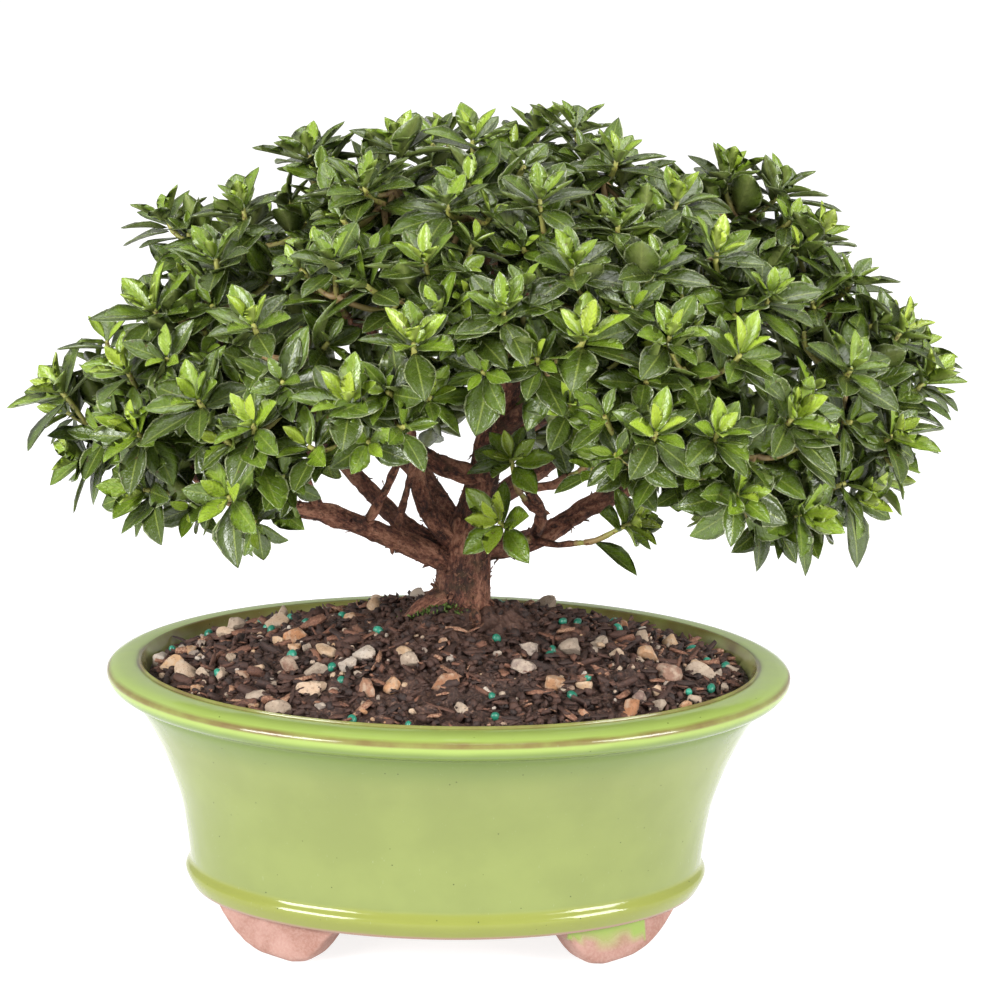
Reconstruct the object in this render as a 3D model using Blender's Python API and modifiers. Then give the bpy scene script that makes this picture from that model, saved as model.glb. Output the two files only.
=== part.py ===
"""A kazan satsuki azalea bonsai in its glazed oval pot.

Lengths are in millimetres, and MM turns them into Blender's metres where a mesh is made. X runs to
the right in the front view, Y away from the viewer and Z up. Places are given from the pot's centre
on the table, and an empty then moves the whole object so that the world origin lies on the table
under the middle of the object's box.
"""

import math
from dataclasses import dataclass
from random import Random

import bmesh
import bpy
import numpy as np
from mathutils import Vector
from mathutils.bvhtree import BVHTree

MM = 0.001
# Each seeded rule has its own source of chance, so that changing one leaves the others as they are.
SOIL_SEED = 5
CANOPY_SEED = 6
LEAF_SEED = 7
WELD = 1e-6
GAP = 0.3

# Pot: an 8 inch oval. Its level sections share one centre and the wall is equally thick all round.
RIM_HALF_LENGTH = 101.5
RIM_HALF_DEPTH = 80.0
OVAL_SLOPE = 1.06
POT_SEGMENTS = 44
POT_FLOOR = 18.5
POT_UNDERSIDE = 12.3
# The inner wall from the floor up, as half-length and height.
POT_INSIDE = [(66.0, POT_FLOOR), (70.5, 21.5), (73.5, 38.0), (80.0, 56.0), (90.6, 79.6)]
# The out-turned rim, the neck, the belly and the base band, from the top down.
POT_RIM = [(92.0, 80.9), (95.2, 81.2), (98.8, 80.7), (RIM_HALF_LENGTH, 79.0), (101.0, 76.2), (98.8, 74.0)]
POT_WALL = [(94.5, 72.3), (93.2, 70.0), (90.0, 65.0), (86.5, 58.3), (83.0, 50.0), (79.6, 39.5), (77.8, 29.3)]
POT_BAND = [(77.0, 22.5), (76.9, 20.0), (78.2, 17.3), (76.3, 13.0), (75.5, POT_UNDERSIDE)]
FOOT_RING = [(64.0, 14.6), (73.4, 14.6), (74.6, 6.0), (74.6, 0.0), (63.5, 0.0)]
# Half-openings between the feet, from the table to the top of the arch.
FRONT_ARCH = [(41.5, -1.0), (37.5, 4.0), (32.5, 10.6), (28.5, 12.6), (22.0, 13.3)]
SIDE_ARCH = [(33.0, -1.0), (26.0, 4.0), (18.0, 10.4), (14.0, 12.6), (9.0, 13.3)]
DRAIN_RADIUS = 7.0
DRAIN_DEPTH = 20.0
DRAIN_SEGMENTS = 16
DRAIN_OFFSET = 38.0
SCREEN_SIDE = 22.0
SCREEN_THICKNESS = 0.8
SCREEN_HOLES = 3
SCREEN_BAR = 2.2

# Soil: a mound that rises to the trunk.
SOIL_EDGE_HEIGHT = 77.0
SOIL_RISE = 18.0
SOIL_FALL = 1.45
SOIL_RINGS = (0.86, 0.66, 0.46, 0.26)
TRUNK_FOOT = (3.0, 8.0)
STONE_COUNT = 16
STONE_RADII = (2.4, 4.4)
STONE_SHARES = (0.34, 0.86)
STONE_SPACING = 10.0
STONE_UNEVENNESS = 0.15
STONE_SCALE = (1.15, 0.9, 0.75)
STONE_TILT = (0.2, 0.1, 1.0)
STONE_LIFT = 0.15


@dataclass
class Limb:
    """A woody limb: its points from the thick end out, and its radius at both ends."""

    points: list
    thick: float
    thin: float
    sides: int = 6


TRUNK = Limb([(3, 8, 84), (3, 8, 96), (3.5, 8, 101), (4, 8, 107), (4.5, 9, 114), (6, 11, 121)], 10.4, 6.4, 8)
ROOTS = [
    Limb([(3, 8, 100), (-7, 3, 95.5), (-18, 1, 87)], 5.6, 2.0),
    Limb([(3, 8, 98), (-3, 17, 93.5), (-8, 25, 86)], 5.0, 2.0),
    Limb([(3, 8, 98), (12, 5, 93.5), (21, 3, 87)], 5.0, 2.0),
    Limb([(3, 8, 97), (6, -3, 93.5), (5, -12, 87)], 4.6, 1.8),
]
LIMBS = {
    "low_left": Limb([(2, 8, 108), (-12, 0, 116), (-36, -12, 128), (-62, -14, 133), (-78, -10, 141),
                      (-97, -4, 151)], 3.6, 1.3),
    "left_riser": Limb([(-38, -12, 128), (-46, -17, 144), (-60, -20, 162)], 1.7, 1.2, 4),
    "middle_riser": Limb([(-26, -7, 123), (-19, -12, 138), (-14, -14, 150)], 1.2, 1.0, 4),
    "near_riser": Limb([(-17, -2, 118), (-14, -7, 133), (-11, -11, 146)], 1.1, 1.0, 4),
    "second_left": Limb([(2, 9, 112), (-14, 14, 119), (-30, 24, 133), (-54, 30, 159), (-75, 30, 177)],
                        3.0, 1.2),
    "third": Limb([(2, 8, 113), (-8, 2, 128), (-13, -8, 150), (-17, -16, 166), (-25, -28, 188)], 3.1, 1.3),
    "leader": Limb([(5, 10, 118), (9, 13, 132), (12, 14, 148), (17, 12, 164), (19, 8, 182), (21, 2, 202)],
                   5.6, 1.7),
    "leader_left": Limb([(9, 12, 134), (-5, 7, 140), (-15, 5, 150), (-22, 5, 172), (-32, 4, 200)], 2.9, 1.3),
    "right_low": Limb([(4, 10, 112), (25, 18, 114), (44, 20, 125), (74, 14, 140), (97, 8, 148)], 3.8, 1.3),
    "right_high": Limb([(11, 14, 144), (32, 16, 156), (58, 14, 172), (84, 10, 186)], 3.4, 1.4),
    "front_twig": Limb([(22, 15, 115), (25, 6, 119), (26, -4, 128), (21, -12, 137)], 2.0, 1.4, 4),
    "front_right": Limb([(13, 14, 147), (24, 4, 158), (40, -12, 167), (60, -30, 176)], 3.0, 1.3),
    "back_left": Limb([(3, 10, 116), (-8, 28, 130), (-28, 46, 144), (-50, 60, 156)], 3.6, 1.3),
    "back_middle": Limb([(8, 13, 132), (12, 32, 146), (14, 54, 162), (12, 72, 174)], 3.4, 1.3),
    "back_right": Limb([(5, 11, 122), (28, 30, 134), (54, 46, 148), (80, 54, 158)], 3.4, 1.3),
}
LIMB_STEP = 7.0

# Canopy: a low dome that widens to the right of the pot.
DOME_CENTRE = (12.0, 3.0)
DOME_HALF_LENGTH = 129.0
DOME_HALF_DEPTH = 95.0
DOME_SHOULDER = 160.0
DOME_TOP = 241.0
DOME_POWER = 1.75
# Below its shoulder the dome draws in by this share for every drop of that many millimetres.
DOME_DRAW_IN = 0.28
DOME_DROP = 50.0
DOME_DRAW_POWER = 1.2
# The viewer of the front view, and the upright plane on which the places below are read.
FRONT_EYE = (-28.0, -1057.0, 382.0)
READING_PLANE = 5.0
SIGHT_DEPTHS = (-115.0, 45.0)
SIGHT_STEP = 0.5
# Leaf rosettes of the front half, one row a spray, as X and Z where each seems to lie.
FRONT_SPRAYS = [
    [(-115, 160), (-109, 141)],
    [(-96, 167), (-93, 148)],
    [(-88, 185), (-70, 200)],
    [(-84, 211), (-62, 215)],
    [(-59, 181)],
    [(-43, 231)],
    [(-27, 222), (-17, 234)],
    [(4, 236), (-3, 217)],
    [(-36, 200)],
    [(-9, 200)],
    [(-12, 176), (-31, 158)],
    [(-59, 151), (-75, 158)],
    [(-91, 131), (-66, 129)],
    [(34, 240), (46, 231)],
    [(24, 219)],
    [(64, 219), (47, 212)],
    [(94, 223), (78, 226)],
    [(106, 209), (116, 196)],
    [(34, 199), (58, 199)],
    [(92, 191), (76, 204)],
    [(38, 178), (14, 186)],
    [(84, 174), (63, 179)],
    [(100, 155), (78, 150)],
    [(117, 170), (131, 181)],
    [(139, 167), (130, 150)],
    [(104, 126), (85, 132)],
    [(120, 131)],
    [(60, 150)],
]
# Rosettes low on the twig in front of the trunk, as their place and the way they look.
INNER_SPRAYS = [
    [((13, -22, 129), (-0.45, -0.65, 0.45))],
    [((41, -27, 157), (0.3, -0.45, 0.8))],
    [((51, -22, 129), (0.75, -0.4, 0.45))],
    [((16, -24, 148), (-0.2, -0.6, 0.75))],
]
# Rows round the back: height, number of sprays, and how far the left half reaches as a share of the right.
BACK_ROWS = ((141.0, 6, 0.95), (172.0, 5, 0.76), (204.0, 5, 0.82), (230.0, 3, 0.9))
BACK_SPAN = (-8.0, 188.0)
BACK_HALF_SPREAD = 15.0
BACK_TURN_SHIFT = 0.09
BACK_HEIGHT_SHIFT = 7.0
ROSETTE_SPACING = 19.0
# How far a rosette looks outwards and upwards.
ROSETTE_OUTWARD = 0.8
ROSETTE_UPWARD = 0.6

# Branches: the cost of a way to a spray grows as it turns back, falls, or is very short.
TURN_COST = 0.35
FALL_COST = 0.8
SHORT_BRANCH = 9.0
SHORT_COST = 30.0
ARRIVAL_LEAN = 0.35
BEND_SHARE = 0.45
BRANCHING_SHARES = (0.3, 0.7, 1.0)
TWIG_RADIUS = 1.5
TWIG_GAIN = 0.006
OFFSHOOT_SHARE = 0.92
TIP_RADIUS = 0.9
STALK_RADIUS = 0.65
FORK_DEPTH = 15.0
STALK_LENGTH = 16.0
NECK = 4.0

# A leaf: an elliptic blade with a pointed tip, widest before its middle.
LEAVES = 5
LEAF_LENGTH = 16.0
LEAF_THICKNESS = 0.75
LEAF_HALF_WIDTH = 0.215
LEAF_RISE = (24.0, 46.0)
LEAF_DROOP = (0.18, 0.42)
LEAF_ARCH = 0.8
LEAF_CUP = 0.09
LEAF_SCALE = (0.84, 1.1)
LEAF_TURN_SHIFT = 0.09
RIB_SHARE = 0.5
NOTCH_RADIUS = 1.9
NOTCH_HEIGHT = 0.35
HUB_HEIGHT = 0.5
HUB_DEPTH = 3.2
# Along the blade and across it, as shares of its length and of its half-width.
LEAF_OUTLINE = [(0.42, 1.0), (0.76, 0.66), (1.0, 0.0), (0.76, -0.66), (0.42, -1.0)]
# A rosette that touches another is tried again, each time shifted, leaned and shrunk a little more.
MOST_TRIES = 14
SHIFT_STEP = 0.35
OUTWARD_SHIFT = 0.2
LEAN_STEP = 0.06
SHRINK_STEP = 0.015


def clear_scene():
    """Remove whatever the file holds."""
    for thing in list(bpy.data.objects):
        bpy.data.objects.remove(thing, do_unlink=True)


def new_collection(name):
    """Add a collection to the scene."""
    collection = bpy.data.collections.new(name)
    bpy.context.scene.collection.children.link(collection)
    return collection


def principled(name, colour, roughness, coat=0.0):
    """A plain Principled BSDF material."""
    material = bpy.data.materials.new(name)
    material.use_nodes = True
    shader = material.node_tree.nodes["Principled BSDF"]
    shader.inputs["Base Color"].default_value = (*colour, 1.0)
    shader.inputs["Roughness"].default_value = roughness
    shader.inputs["Coat Weight"].default_value = coat
    return material


def evaluated_mesh(thing):
    """The object's shape with its modifiers applied, its doubles welded."""
    graph = bpy.context.evaluated_depsgraph_get()
    mesh = bpy.data.meshes.new_from_object(thing.evaluated_get(graph))
    shape = bmesh.new()
    shape.from_mesh(mesh)
    bmesh.ops.remove_doubles(shape, verts=shape.verts, dist=WELD)
    shape.to_mesh(mesh)
    shape.free()
    return mesh


def as_mesh(thing, collection):
    """Turn a curve, or an object with modifiers, into a plain mesh object."""
    name, place, mesh = thing.name, thing.matrix_world.copy(), evaluated_mesh(thing)
    bpy.data.objects.remove(thing, do_unlink=True)
    made = bpy.data.objects.new(name, mesh)
    made.matrix_world = place
    collection.objects.link(made)
    return made


def mesh_object(name, points, faces, collection):
    """An object from points in millimetres and faces."""
    mesh = bpy.data.meshes.new(name)
    mesh.from_pydata([tuple(MM * value for value in point) for point in points], [], faces)
    made = bpy.data.objects.new(name, mesh)
    collection.objects.link(made)
    return made


def tube(name, points, radii, sides, collection):
    """A round bar along the points, its radius set point by point."""
    curve = bpy.data.curves.new(name, "CURVE")
    curve.dimensions = "3D"
    curve.bevel_depth = MM
    curve.bevel_resolution = sides // 2 - 2
    curve.use_fill_caps = True
    spline = curve.splines.new("POLY")
    spline.points.add(len(points) - 1)
    for knot, place, radius in zip(spline.points, points, radii):
        knot.co = (*(MM * Vector(place)), 1.0)
        knot.radius = radius
    bar = bpy.data.objects.new(name, curve)
    collection.objects.link(bar)
    return as_mesh(bar, collection)


def turned(name, profile, segments, collection):
    """A solid of revolution from a profile of (radius, height), which runs down its outer side."""
    shape = bmesh.new()
    corners = [shape.verts.new((MM * radius, 0.0, MM * height)) for radius, height in profile]
    for first, second in zip(corners, corners[1:]):
        shape.edges.new((first, second))
    mesh = bpy.data.meshes.new(name)
    shape.to_mesh(mesh)
    shape.free()
    thing = bpy.data.objects.new(name, mesh)
    collection.objects.link(thing)
    screw = thing.modifiers.new("Turn", "SCREW")
    screw.steps = segments
    screw.render_steps = segments
    screw.use_merge_vertices = True
    screw.merge_threshold = WELD
    screw.use_smooth_shade = False
    return as_mesh(thing, collection)


def boolean(thing, operation, others):
    """Join the others to the thing, or cut them from it, and remove them."""
    operands = bpy.data.collections.new("operands")
    bpy.context.scene.collection.children.link(operands)
    for other in others:
        for owner in list(other.users_collection):
            owner.objects.unlink(other)
        operands.objects.link(other)
    modifier = thing.modifiers.new(operation.title(), "BOOLEAN")
    modifier.operation = operation
    modifier.solver = "EXACT"
    modifier.operand_type = "COLLECTION"
    modifier.collection = operands
    thing.data = evaluated_mesh(thing)
    thing.modifiers.clear()
    for other in others:
        bpy.data.objects.remove(other, do_unlink=True)
    bpy.data.collections.remove(operands)


def drop_scraps(thing):
    """Keep only the largest body of the mesh, whose faces meet two at an edge.

    This fills any hollow that joining has sealed, and takes off slivers that hang on by one edge.
    """
    shape = bmesh.new()
    shape.from_mesh(thing.data)
    bodies = []
    waiting = set(shape.faces)
    while waiting:
        front = [waiting.pop()]
        body = list(front)
        while front:
            for edge in front.pop().edges:
                found = [face for face in edge.link_faces if face in waiting]
                if found and len(edge.link_faces) == 2:
                    waiting.difference_update(found)
                    front.extend(found)
                    body.extend(found)
        bodies.append(body)
    bodies.sort(key=len)
    bmesh.ops.delete(shape, geom=[face for body in bodies[:-1] for face in body], context="FACES")
    shape.to_mesh(thing.data)
    shape.free()


def box_cutter(name, centre, size, collection):
    """A box in millimetres, ready to cut."""
    shape = bmesh.new()
    bmesh.ops.create_cube(shape, size=MM)
    bmesh.ops.scale(shape, vec=size, verts=shape.verts)
    bmesh.ops.translate(shape, vec=MM * Vector(centre), verts=shape.verts)
    mesh = bpy.data.meshes.new(name)
    shape.to_mesh(mesh)
    shape.free()
    cutter = bpy.data.objects.new(name, mesh)
    collection.objects.link(cutter)
    return cutter


def half_depth(radius):
    """Half the pot's depth where its half-length is the radius; ovals nearer the axis are to scale."""
    innermost = POT_INSIDE[0][0]
    at_innermost = RIM_HALF_DEPTH - OVAL_SLOPE * (RIM_HALF_LENGTH - innermost)
    full = RIM_HALF_DEPTH - OVAL_SLOPE * (RIM_HALF_LENGTH - radius)
    return np.where(radius >= innermost, full, radius * at_innermost / innermost)


def squeeze_to_oval(thing):
    """Press a turned shape's round sections into the pot's ovals."""
    mesh = thing.data
    points = np.empty(len(mesh.vertices) * 3, np.float32)
    mesh.vertices.foreach_get("co", points)
    points = points.reshape(-1, 3).astype(float) / MM
    radius = np.hypot(points[:, 0], points[:, 1])
    points[:, 1] *= np.where(radius > 0, half_depth(radius) / np.maximum(radius, 1e-9), 1.0)
    mesh.vertices.foreach_set("co", (points * MM).astype(np.float32).ravel())
    mesh.update()


def arch_cutter(name, half_outline, half_length, along_x, collection):
    """A prism of the arch between two feet, laid along X or Y."""
    outline = half_outline + [(-x, z) for x, z in reversed(half_outline)]
    curve = bpy.data.curves.new(name, "CURVE")
    curve.dimensions = "2D"
    curve.fill_mode = "BOTH"
    curve.extrude = MM * half_length
    spline = curve.splines.new("POLY")
    spline.points.add(len(outline) - 1)
    for knot, (x, z) in zip(spline.points, outline):
        knot.co = (MM * x, MM * z, 0.0, 1.0)
    spline.use_cyclic_u = True
    thing = bpy.data.objects.new(name, curve)
    thing.rotation_euler = (math.radians(90), 0.0, math.radians(90) if along_x else 0.0)
    collection.objects.link(thing)
    bpy.context.view_layer.update()
    return as_mesh(thing, collection)


def make_pot(collection, cutters):
    """The oval pot: wall, rim, base band, four feet and two drain holes."""
    profile = [(0.0, POT_FLOOR)] + POT_INSIDE + POT_RIM + POT_WALL + POT_BAND + [(0.0, POT_UNDERSIDE)]
    pot = turned("pot", profile, POT_SEGMENTS, collection)
    squeeze_to_oval(pot)
    feet = turned("feet", FOOT_RING + FOOT_RING[:1], POT_SEGMENTS, cutters)
    squeeze_to_oval(feet)
    arches = [
        arch_cutter("front_arch", FRONT_ARCH, RIM_HALF_DEPTH, False, cutters),
        arch_cutter("side_arch", SIDE_ARCH, RIM_HALF_LENGTH, True, cutters),
    ]
    boolean(feet, "DIFFERENCE", arches)
    boolean(pot, "UNION", [feet])
    drains = []
    for side in (-1, 1):
        shape = bmesh.new()
        bmesh.ops.create_cone(shape, cap_ends=True, segments=DRAIN_SEGMENTS, radius1=MM * DRAIN_RADIUS,
                              radius2=MM * DRAIN_RADIUS, depth=MM * DRAIN_DEPTH)
        middle = (side * DRAIN_OFFSET, 0.0, POT_UNDERSIDE)
        bmesh.ops.translate(shape, vec=MM * Vector(middle), verts=shape.verts)
        mesh = bpy.data.meshes.new("drain")
        shape.to_mesh(mesh)
        shape.free()
        drain = bpy.data.objects.new("drain", mesh)
        cutters.objects.link(drain)
        drains.append(drain)
    boolean(pot, "DIFFERENCE", drains)
    pot.data.materials.append(principled("green_glaze", (0.48, 0.64, 0.20), 0.16, 0.6))
    pot.data.shade_smooth()
    pot.data.set_sharp_from_angle(angle=math.radians(35))
    return pot


def make_screen(name, side, plastic, collection):
    """A square of plastic mesh that lies over a drain hole."""
    cells = 2 * SCREEN_HOLES + 1
    hole = (SCREEN_SIDE - (SCREEN_HOLES + 1) * SCREEN_BAR) / SCREEN_HOLES
    stops = [-SCREEN_SIDE / 2]
    for step in range(cells):
        stops.append(stops[-1] + (hole if step % 2 else SCREEN_BAR))
    shape = bmesh.new()
    bmesh.ops.create_grid(shape, x_segments=cells, y_segments=cells, size=MM * SCREEN_SIDE / 2)
    step = MM * SCREEN_SIDE / cells
    for corner in shape.verts:
        column = round((corner.co.x + MM * SCREEN_SIDE / 2) / step)
        row = round((corner.co.y + MM * SCREEN_SIDE / 2) / step)
        corner.co = (MM * stops[column], MM * stops[row], 0.0)
    holes = []
    for face in shape.faces:
        middle = face.calc_center_median() / MM
        over_hole = [any(stops[i] < value < stops[i + 1] for i in range(1, cells, 2)) for value in middle[:2]]
        if all(over_hole):
            holes.append(face)
    bmesh.ops.delete(shape, geom=holes, context="FACES")
    mesh = bpy.data.meshes.new(name)
    shape.to_mesh(mesh)
    shape.free()
    screen = bpy.data.objects.new(name, mesh)
    screen.location = (MM * side * DRAIN_OFFSET, 0.0, MM * (POT_FLOOR + GAP))
    collection.objects.link(screen)
    wall = screen.modifiers.new("Thickness", "SOLIDIFY")
    wall.thickness = MM * SCREEN_THICKNESS
    wall.offset = 1.0
    mesh.materials.append(plastic)
    return screen


def soil_edge(clear):
    """The half-length of the soil at its edge, clear of the pot's wall."""
    return np.interp(SOIL_EDGE_HEIGHT, [z for _, z in POT_INSIDE], [r for r, _ in POT_INSIDE]) - clear


def soil_height(share, angle):
    """Height of the soil at a share of the way out to the wall: a mound with slow uneven swells.

    The swells are 1.8 mm times sin(3 angle + 1.3) sin(5 share), and 1.2 mm times sin(7 angle) share
    (1 - share), and both die away towards the wall.
    """
    swell = 1.8 * np.sin(3 * angle + 1.3) * np.sin(5.0 * share)
    swell = swell + 1.2 * np.sin(7 * angle) * share * (1 - share)
    return SOIL_EDGE_HEIGHT + SOIL_RISE * (1 - share**SOIL_FALL) + swell * (1 - share)


def soil_place(share, angle):
    """The point on the soil at a share of the way out to the wall, at an angle round the oval."""
    edge = soil_edge(GAP)
    x = share * edge * math.cos(angle) + (1 - share) * TRUNK_FOOT[0]
    y = share * float(half_depth(np.array(edge))) * math.sin(angle) + (1 - share) * TRUNK_FOOT[1]
    return np.array([x, y, float(soil_height(share, angle))])


def make_soil(collection, cutters, random):
    """The soil mound with stones pressed into it, a plain hole for the trunk and seats for the screens."""
    clear = GAP + 0.05
    wall = [(radius - clear, height) for radius, height in POT_INSIDE[1:-1]]
    edge = soil_edge(clear)
    rings = [(share * edge, SOIL_EDGE_HEIGHT) for share in sorted(SOIL_RINGS)]
    bottom = [(POT_INSIDE[0][0] - clear, POT_FLOOR + GAP), (0.0, POT_FLOOR + GAP)]
    profile = [(0.0, SOIL_EDGE_HEIGHT)] + rings + [(edge, SOIL_EDGE_HEIGHT)] + wall[::-1] + bottom
    soil = turned("soil", profile, POT_SEGMENTS, collection)
    for corner in soil.data.vertices:
        x, y, z = corner.co / MM
        if z < SOIL_EDGE_HEIGHT - 0.5:
            continue
        share = min(math.hypot(x, y) / edge, 1.0)
        angle = math.atan2(y, x)
        x += (1 - share) * TRUNK_FOOT[0]
        y += (1 - share) * TRUNK_FOOT[1] * edge / float(half_depth(np.array(edge)))
        corner.co = MM * Vector((x, y, float(soil_height(share, angle))))
    squeeze_to_oval(soil)
    stones = []
    while len(stones) < STONE_COUNT:
        share = random.uniform(*STONE_SHARES)
        angle = random.uniform(0, 2 * math.pi)
        centre = soil_place(share, angle)
        if any(np.hypot(*(centre[:2] - place[:2])) < STONE_SPACING for place, _ in stones):
            continue
        radius = random.uniform(*STONE_RADII)
        shape = bmesh.new()
        bmesh.ops.create_icosphere(shape, subdivisions=1, radius=MM * radius)
        for corner in shape.verts:
            corner.co *= random.uniform(1 - STONE_UNEVENNESS, 1 + STONE_UNEVENNESS)
        bmesh.ops.scale(shape, vec=STONE_SCALE, verts=shape.verts)
        bmesh.ops.rotate(shape, verts=shape.verts, cent=(0, 0, 0),
                         matrix=Vector((0, 0, 1)).rotation_difference(Vector(STONE_TILT)).to_matrix())
        bmesh.ops.translate(shape, vec=MM * Vector(centre + (0, 0, STONE_LIFT * radius)), verts=shape.verts)
        mesh = bpy.data.meshes.new("stone")
        shape.to_mesh(mesh)
        shape.free()
        stone = bpy.data.objects.new("stone", mesh)
        cutters.objects.link(stone)
        stones.append((centre, stone))
    boolean(soil, "UNION", [stone for _, stone in stones])
    sockets = [tube("socket", *grown(limb), limb.sides, cutters) for limb in [TRUNK] + ROOTS]
    seats = [
        box_cutter("screen_seat", (side * DRAIN_OFFSET, 0.0, POT_FLOOR),
                   (SCREEN_SIDE + 2 * GAP, SCREEN_SIDE + 2 * GAP, 2 * (2 * GAP + SCREEN_THICKNESS)), cutters)
        for side in (-1, 1)
    ]
    boolean(soil, "DIFFERENCE", sockets + seats)
    drop_scraps(soil)
    soil.data.materials.append(principled("dark_soil", (0.045, 0.030, 0.022), 0.95))
    return soil


def limb_radii(limb):
    """The limb's radius at each of its points, falling evenly along its length."""
    steps = [0.0]
    for first, second in zip(limb.points, limb.points[1:]):
        steps.append(steps[-1] + math.dist(first, second))
    return [limb.thick + (limb.thin - limb.thick) * (step / steps[-1]) for step in steps]


def grown(limb):
    """The limb's points and radii, larger by the gap on every side."""
    points = [Vector(point) for point in limb.points]
    start = points[0] + (points[0] - points[1]).normalized() * GAP
    end = points[-1] + (points[-1] - points[-2]).normalized() * GAP
    return [start] + points[1:-1] + [end], [radius + 1.15 * GAP for radius in limb_radii(limb)]


def dome_reach(height):
    """The canopy's half-width at a height, as a share of its widest."""
    above = np.clip((height - DOME_SHOULDER) / (DOME_TOP - DOME_SHOULDER), 0.0, 1.0)
    below = np.clip((DOME_SHOULDER - height) / DOME_DROP, 0.0, 1.5)
    dome = (1 - above**DOME_POWER) ** (1 / DOME_POWER)
    return np.where(height > DOME_SHOULDER, dome, 1 - DOME_DRAW_IN * below**DOME_DRAW_POWER)


def dome_level(point):
    """Below zero inside the canopy's dome, zero on it, above zero outside."""
    x, y, z = np.moveaxis(np.asarray(point, float), -1, 0)
    span = np.hypot((x - DOME_CENTRE[0]) / DOME_HALF_LENGTH, (y - DOME_CENTRE[1]) / DOME_HALF_DEPTH)
    over = np.maximum(z - DOME_TOP, 0.0) / DOME_TOP
    return span - dome_reach(z) + over


def dome_normal(point):
    """The outward direction of the dome at a point on it."""
    step = 1.5
    slope = [dome_level(point + step * axis) - dome_level(point - step * axis) for axis in np.eye(3)]
    slope = np.array(slope)
    return slope / np.linalg.norm(slope)


def from_front(x, z):
    """Where the front viewer's sight line through (x, z) on the reading plane first meets the dome."""
    eye = np.array(FRONT_EYE)
    sight = np.array([x, READING_PLANE, z]) - eye
    depths = np.arange(SIGHT_DEPTHS[0], SIGHT_DEPTHS[1] + SIGHT_STEP, SIGHT_STEP)
    line = eye + ((depths - eye[1]) / sight[1])[:, None] * sight
    level = dome_level(line)
    inside = np.flatnonzero(level <= 0)
    return line[inside[0] if len(inside) else int(np.argmin(level))]


def rosette_axis(place):
    """A rosette looks outwards from the dome and up."""
    axis = ROSETTE_OUTWARD * dome_normal(place) + np.array([0.0, 0.0, ROSETTE_UPWARD])
    return axis / np.linalg.norm(axis)


def canopy_layout(random):
    """The rosettes of every spray: the front as seen, then rows round the back, as places and axes."""
    sprays = [[from_front(x, z) for x, z in row] for row in FRONT_SPRAYS]
    taken = [place for row in sprays for place in row]
    for height, count, left_share in BACK_ROWS:
        reach = float(dome_reach(np.array(height)))
        first, last = (math.radians(angle) for angle in BACK_SPAN)
        for step in range(count):
            turn = first + (last - first) * (step + 0.5) / count
            turn += random.uniform(-BACK_TURN_SHIFT, BACK_TURN_SHIFT)
            row = []
            for side in (-1, 1):
                lean = turn + side * BACK_HALF_SPREAD / (reach * DOME_HALF_LENGTH * 0.8)
                level = height + side * random.uniform(-BACK_HEIGHT_SHIFT, BACK_HEIGHT_SHIFT)
                size = float(dome_reach(np.array(level)))
                width = size * DOME_HALF_LENGTH * (left_share if math.cos(lean) < 0 else 1.0)
                place = np.array([
                    DOME_CENTRE[0] + width * math.cos(lean),
                    DOME_CENTRE[1] + size * DOME_HALF_DEPTH * math.sin(lean),
                    level,
                ])
                if all(np.linalg.norm(place - other) > ROSETTE_SPACING for other in taken):
                    row.append(place)
                    taken.append(place)
            if row:
                sprays.append(row)
    layout = [[(place, rosette_axis(place)) for place in row] for row in sprays]
    for row in INNER_SPRAYS:
        layout.append([(np.array(spot, float), np.array(axis) / np.linalg.norm(axis)) for spot, axis in row])
    return layout


def limb_nodes():
    """Points along the limbs where a branch may leave, with the limb's direction and radius there."""
    nodes = []
    for limb in LIMBS.values():
        radii = limb_radii(limb)
        spans = list(zip(limb.points, limb.points[1:], radii, radii[1:]))
        for order, (start, end, thick, thin) in enumerate(spans):
            start, end = np.array(start, float), np.array(end, float)
            length = np.linalg.norm(end - start)
            count = max(int(length / LIMB_STEP), 1)
            first = count // 2 if order == 0 else 0
            for step in range(first, count + 1):
                share = step / count
                place = start + share * (end - start)
                nodes.append((place, (end - start) / length, thick + share * (thin - thick)))
    return nodes


def reach_cost(node, target):
    """How hard a branch is to grow from a node to the target: its length, more if it turns back."""
    place, direction, _ = node
    way = target - place
    length = np.linalg.norm(way)
    turn = float(way @ direction) / max(length, 1e-6)
    cost = length * (1 + TURN_COST * (1 - turn)) + FALL_COST * max(0.0, place[2] - target[2])
    return cost + (SHORT_COST if length < SHORT_BRANCH else 0.0)


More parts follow.
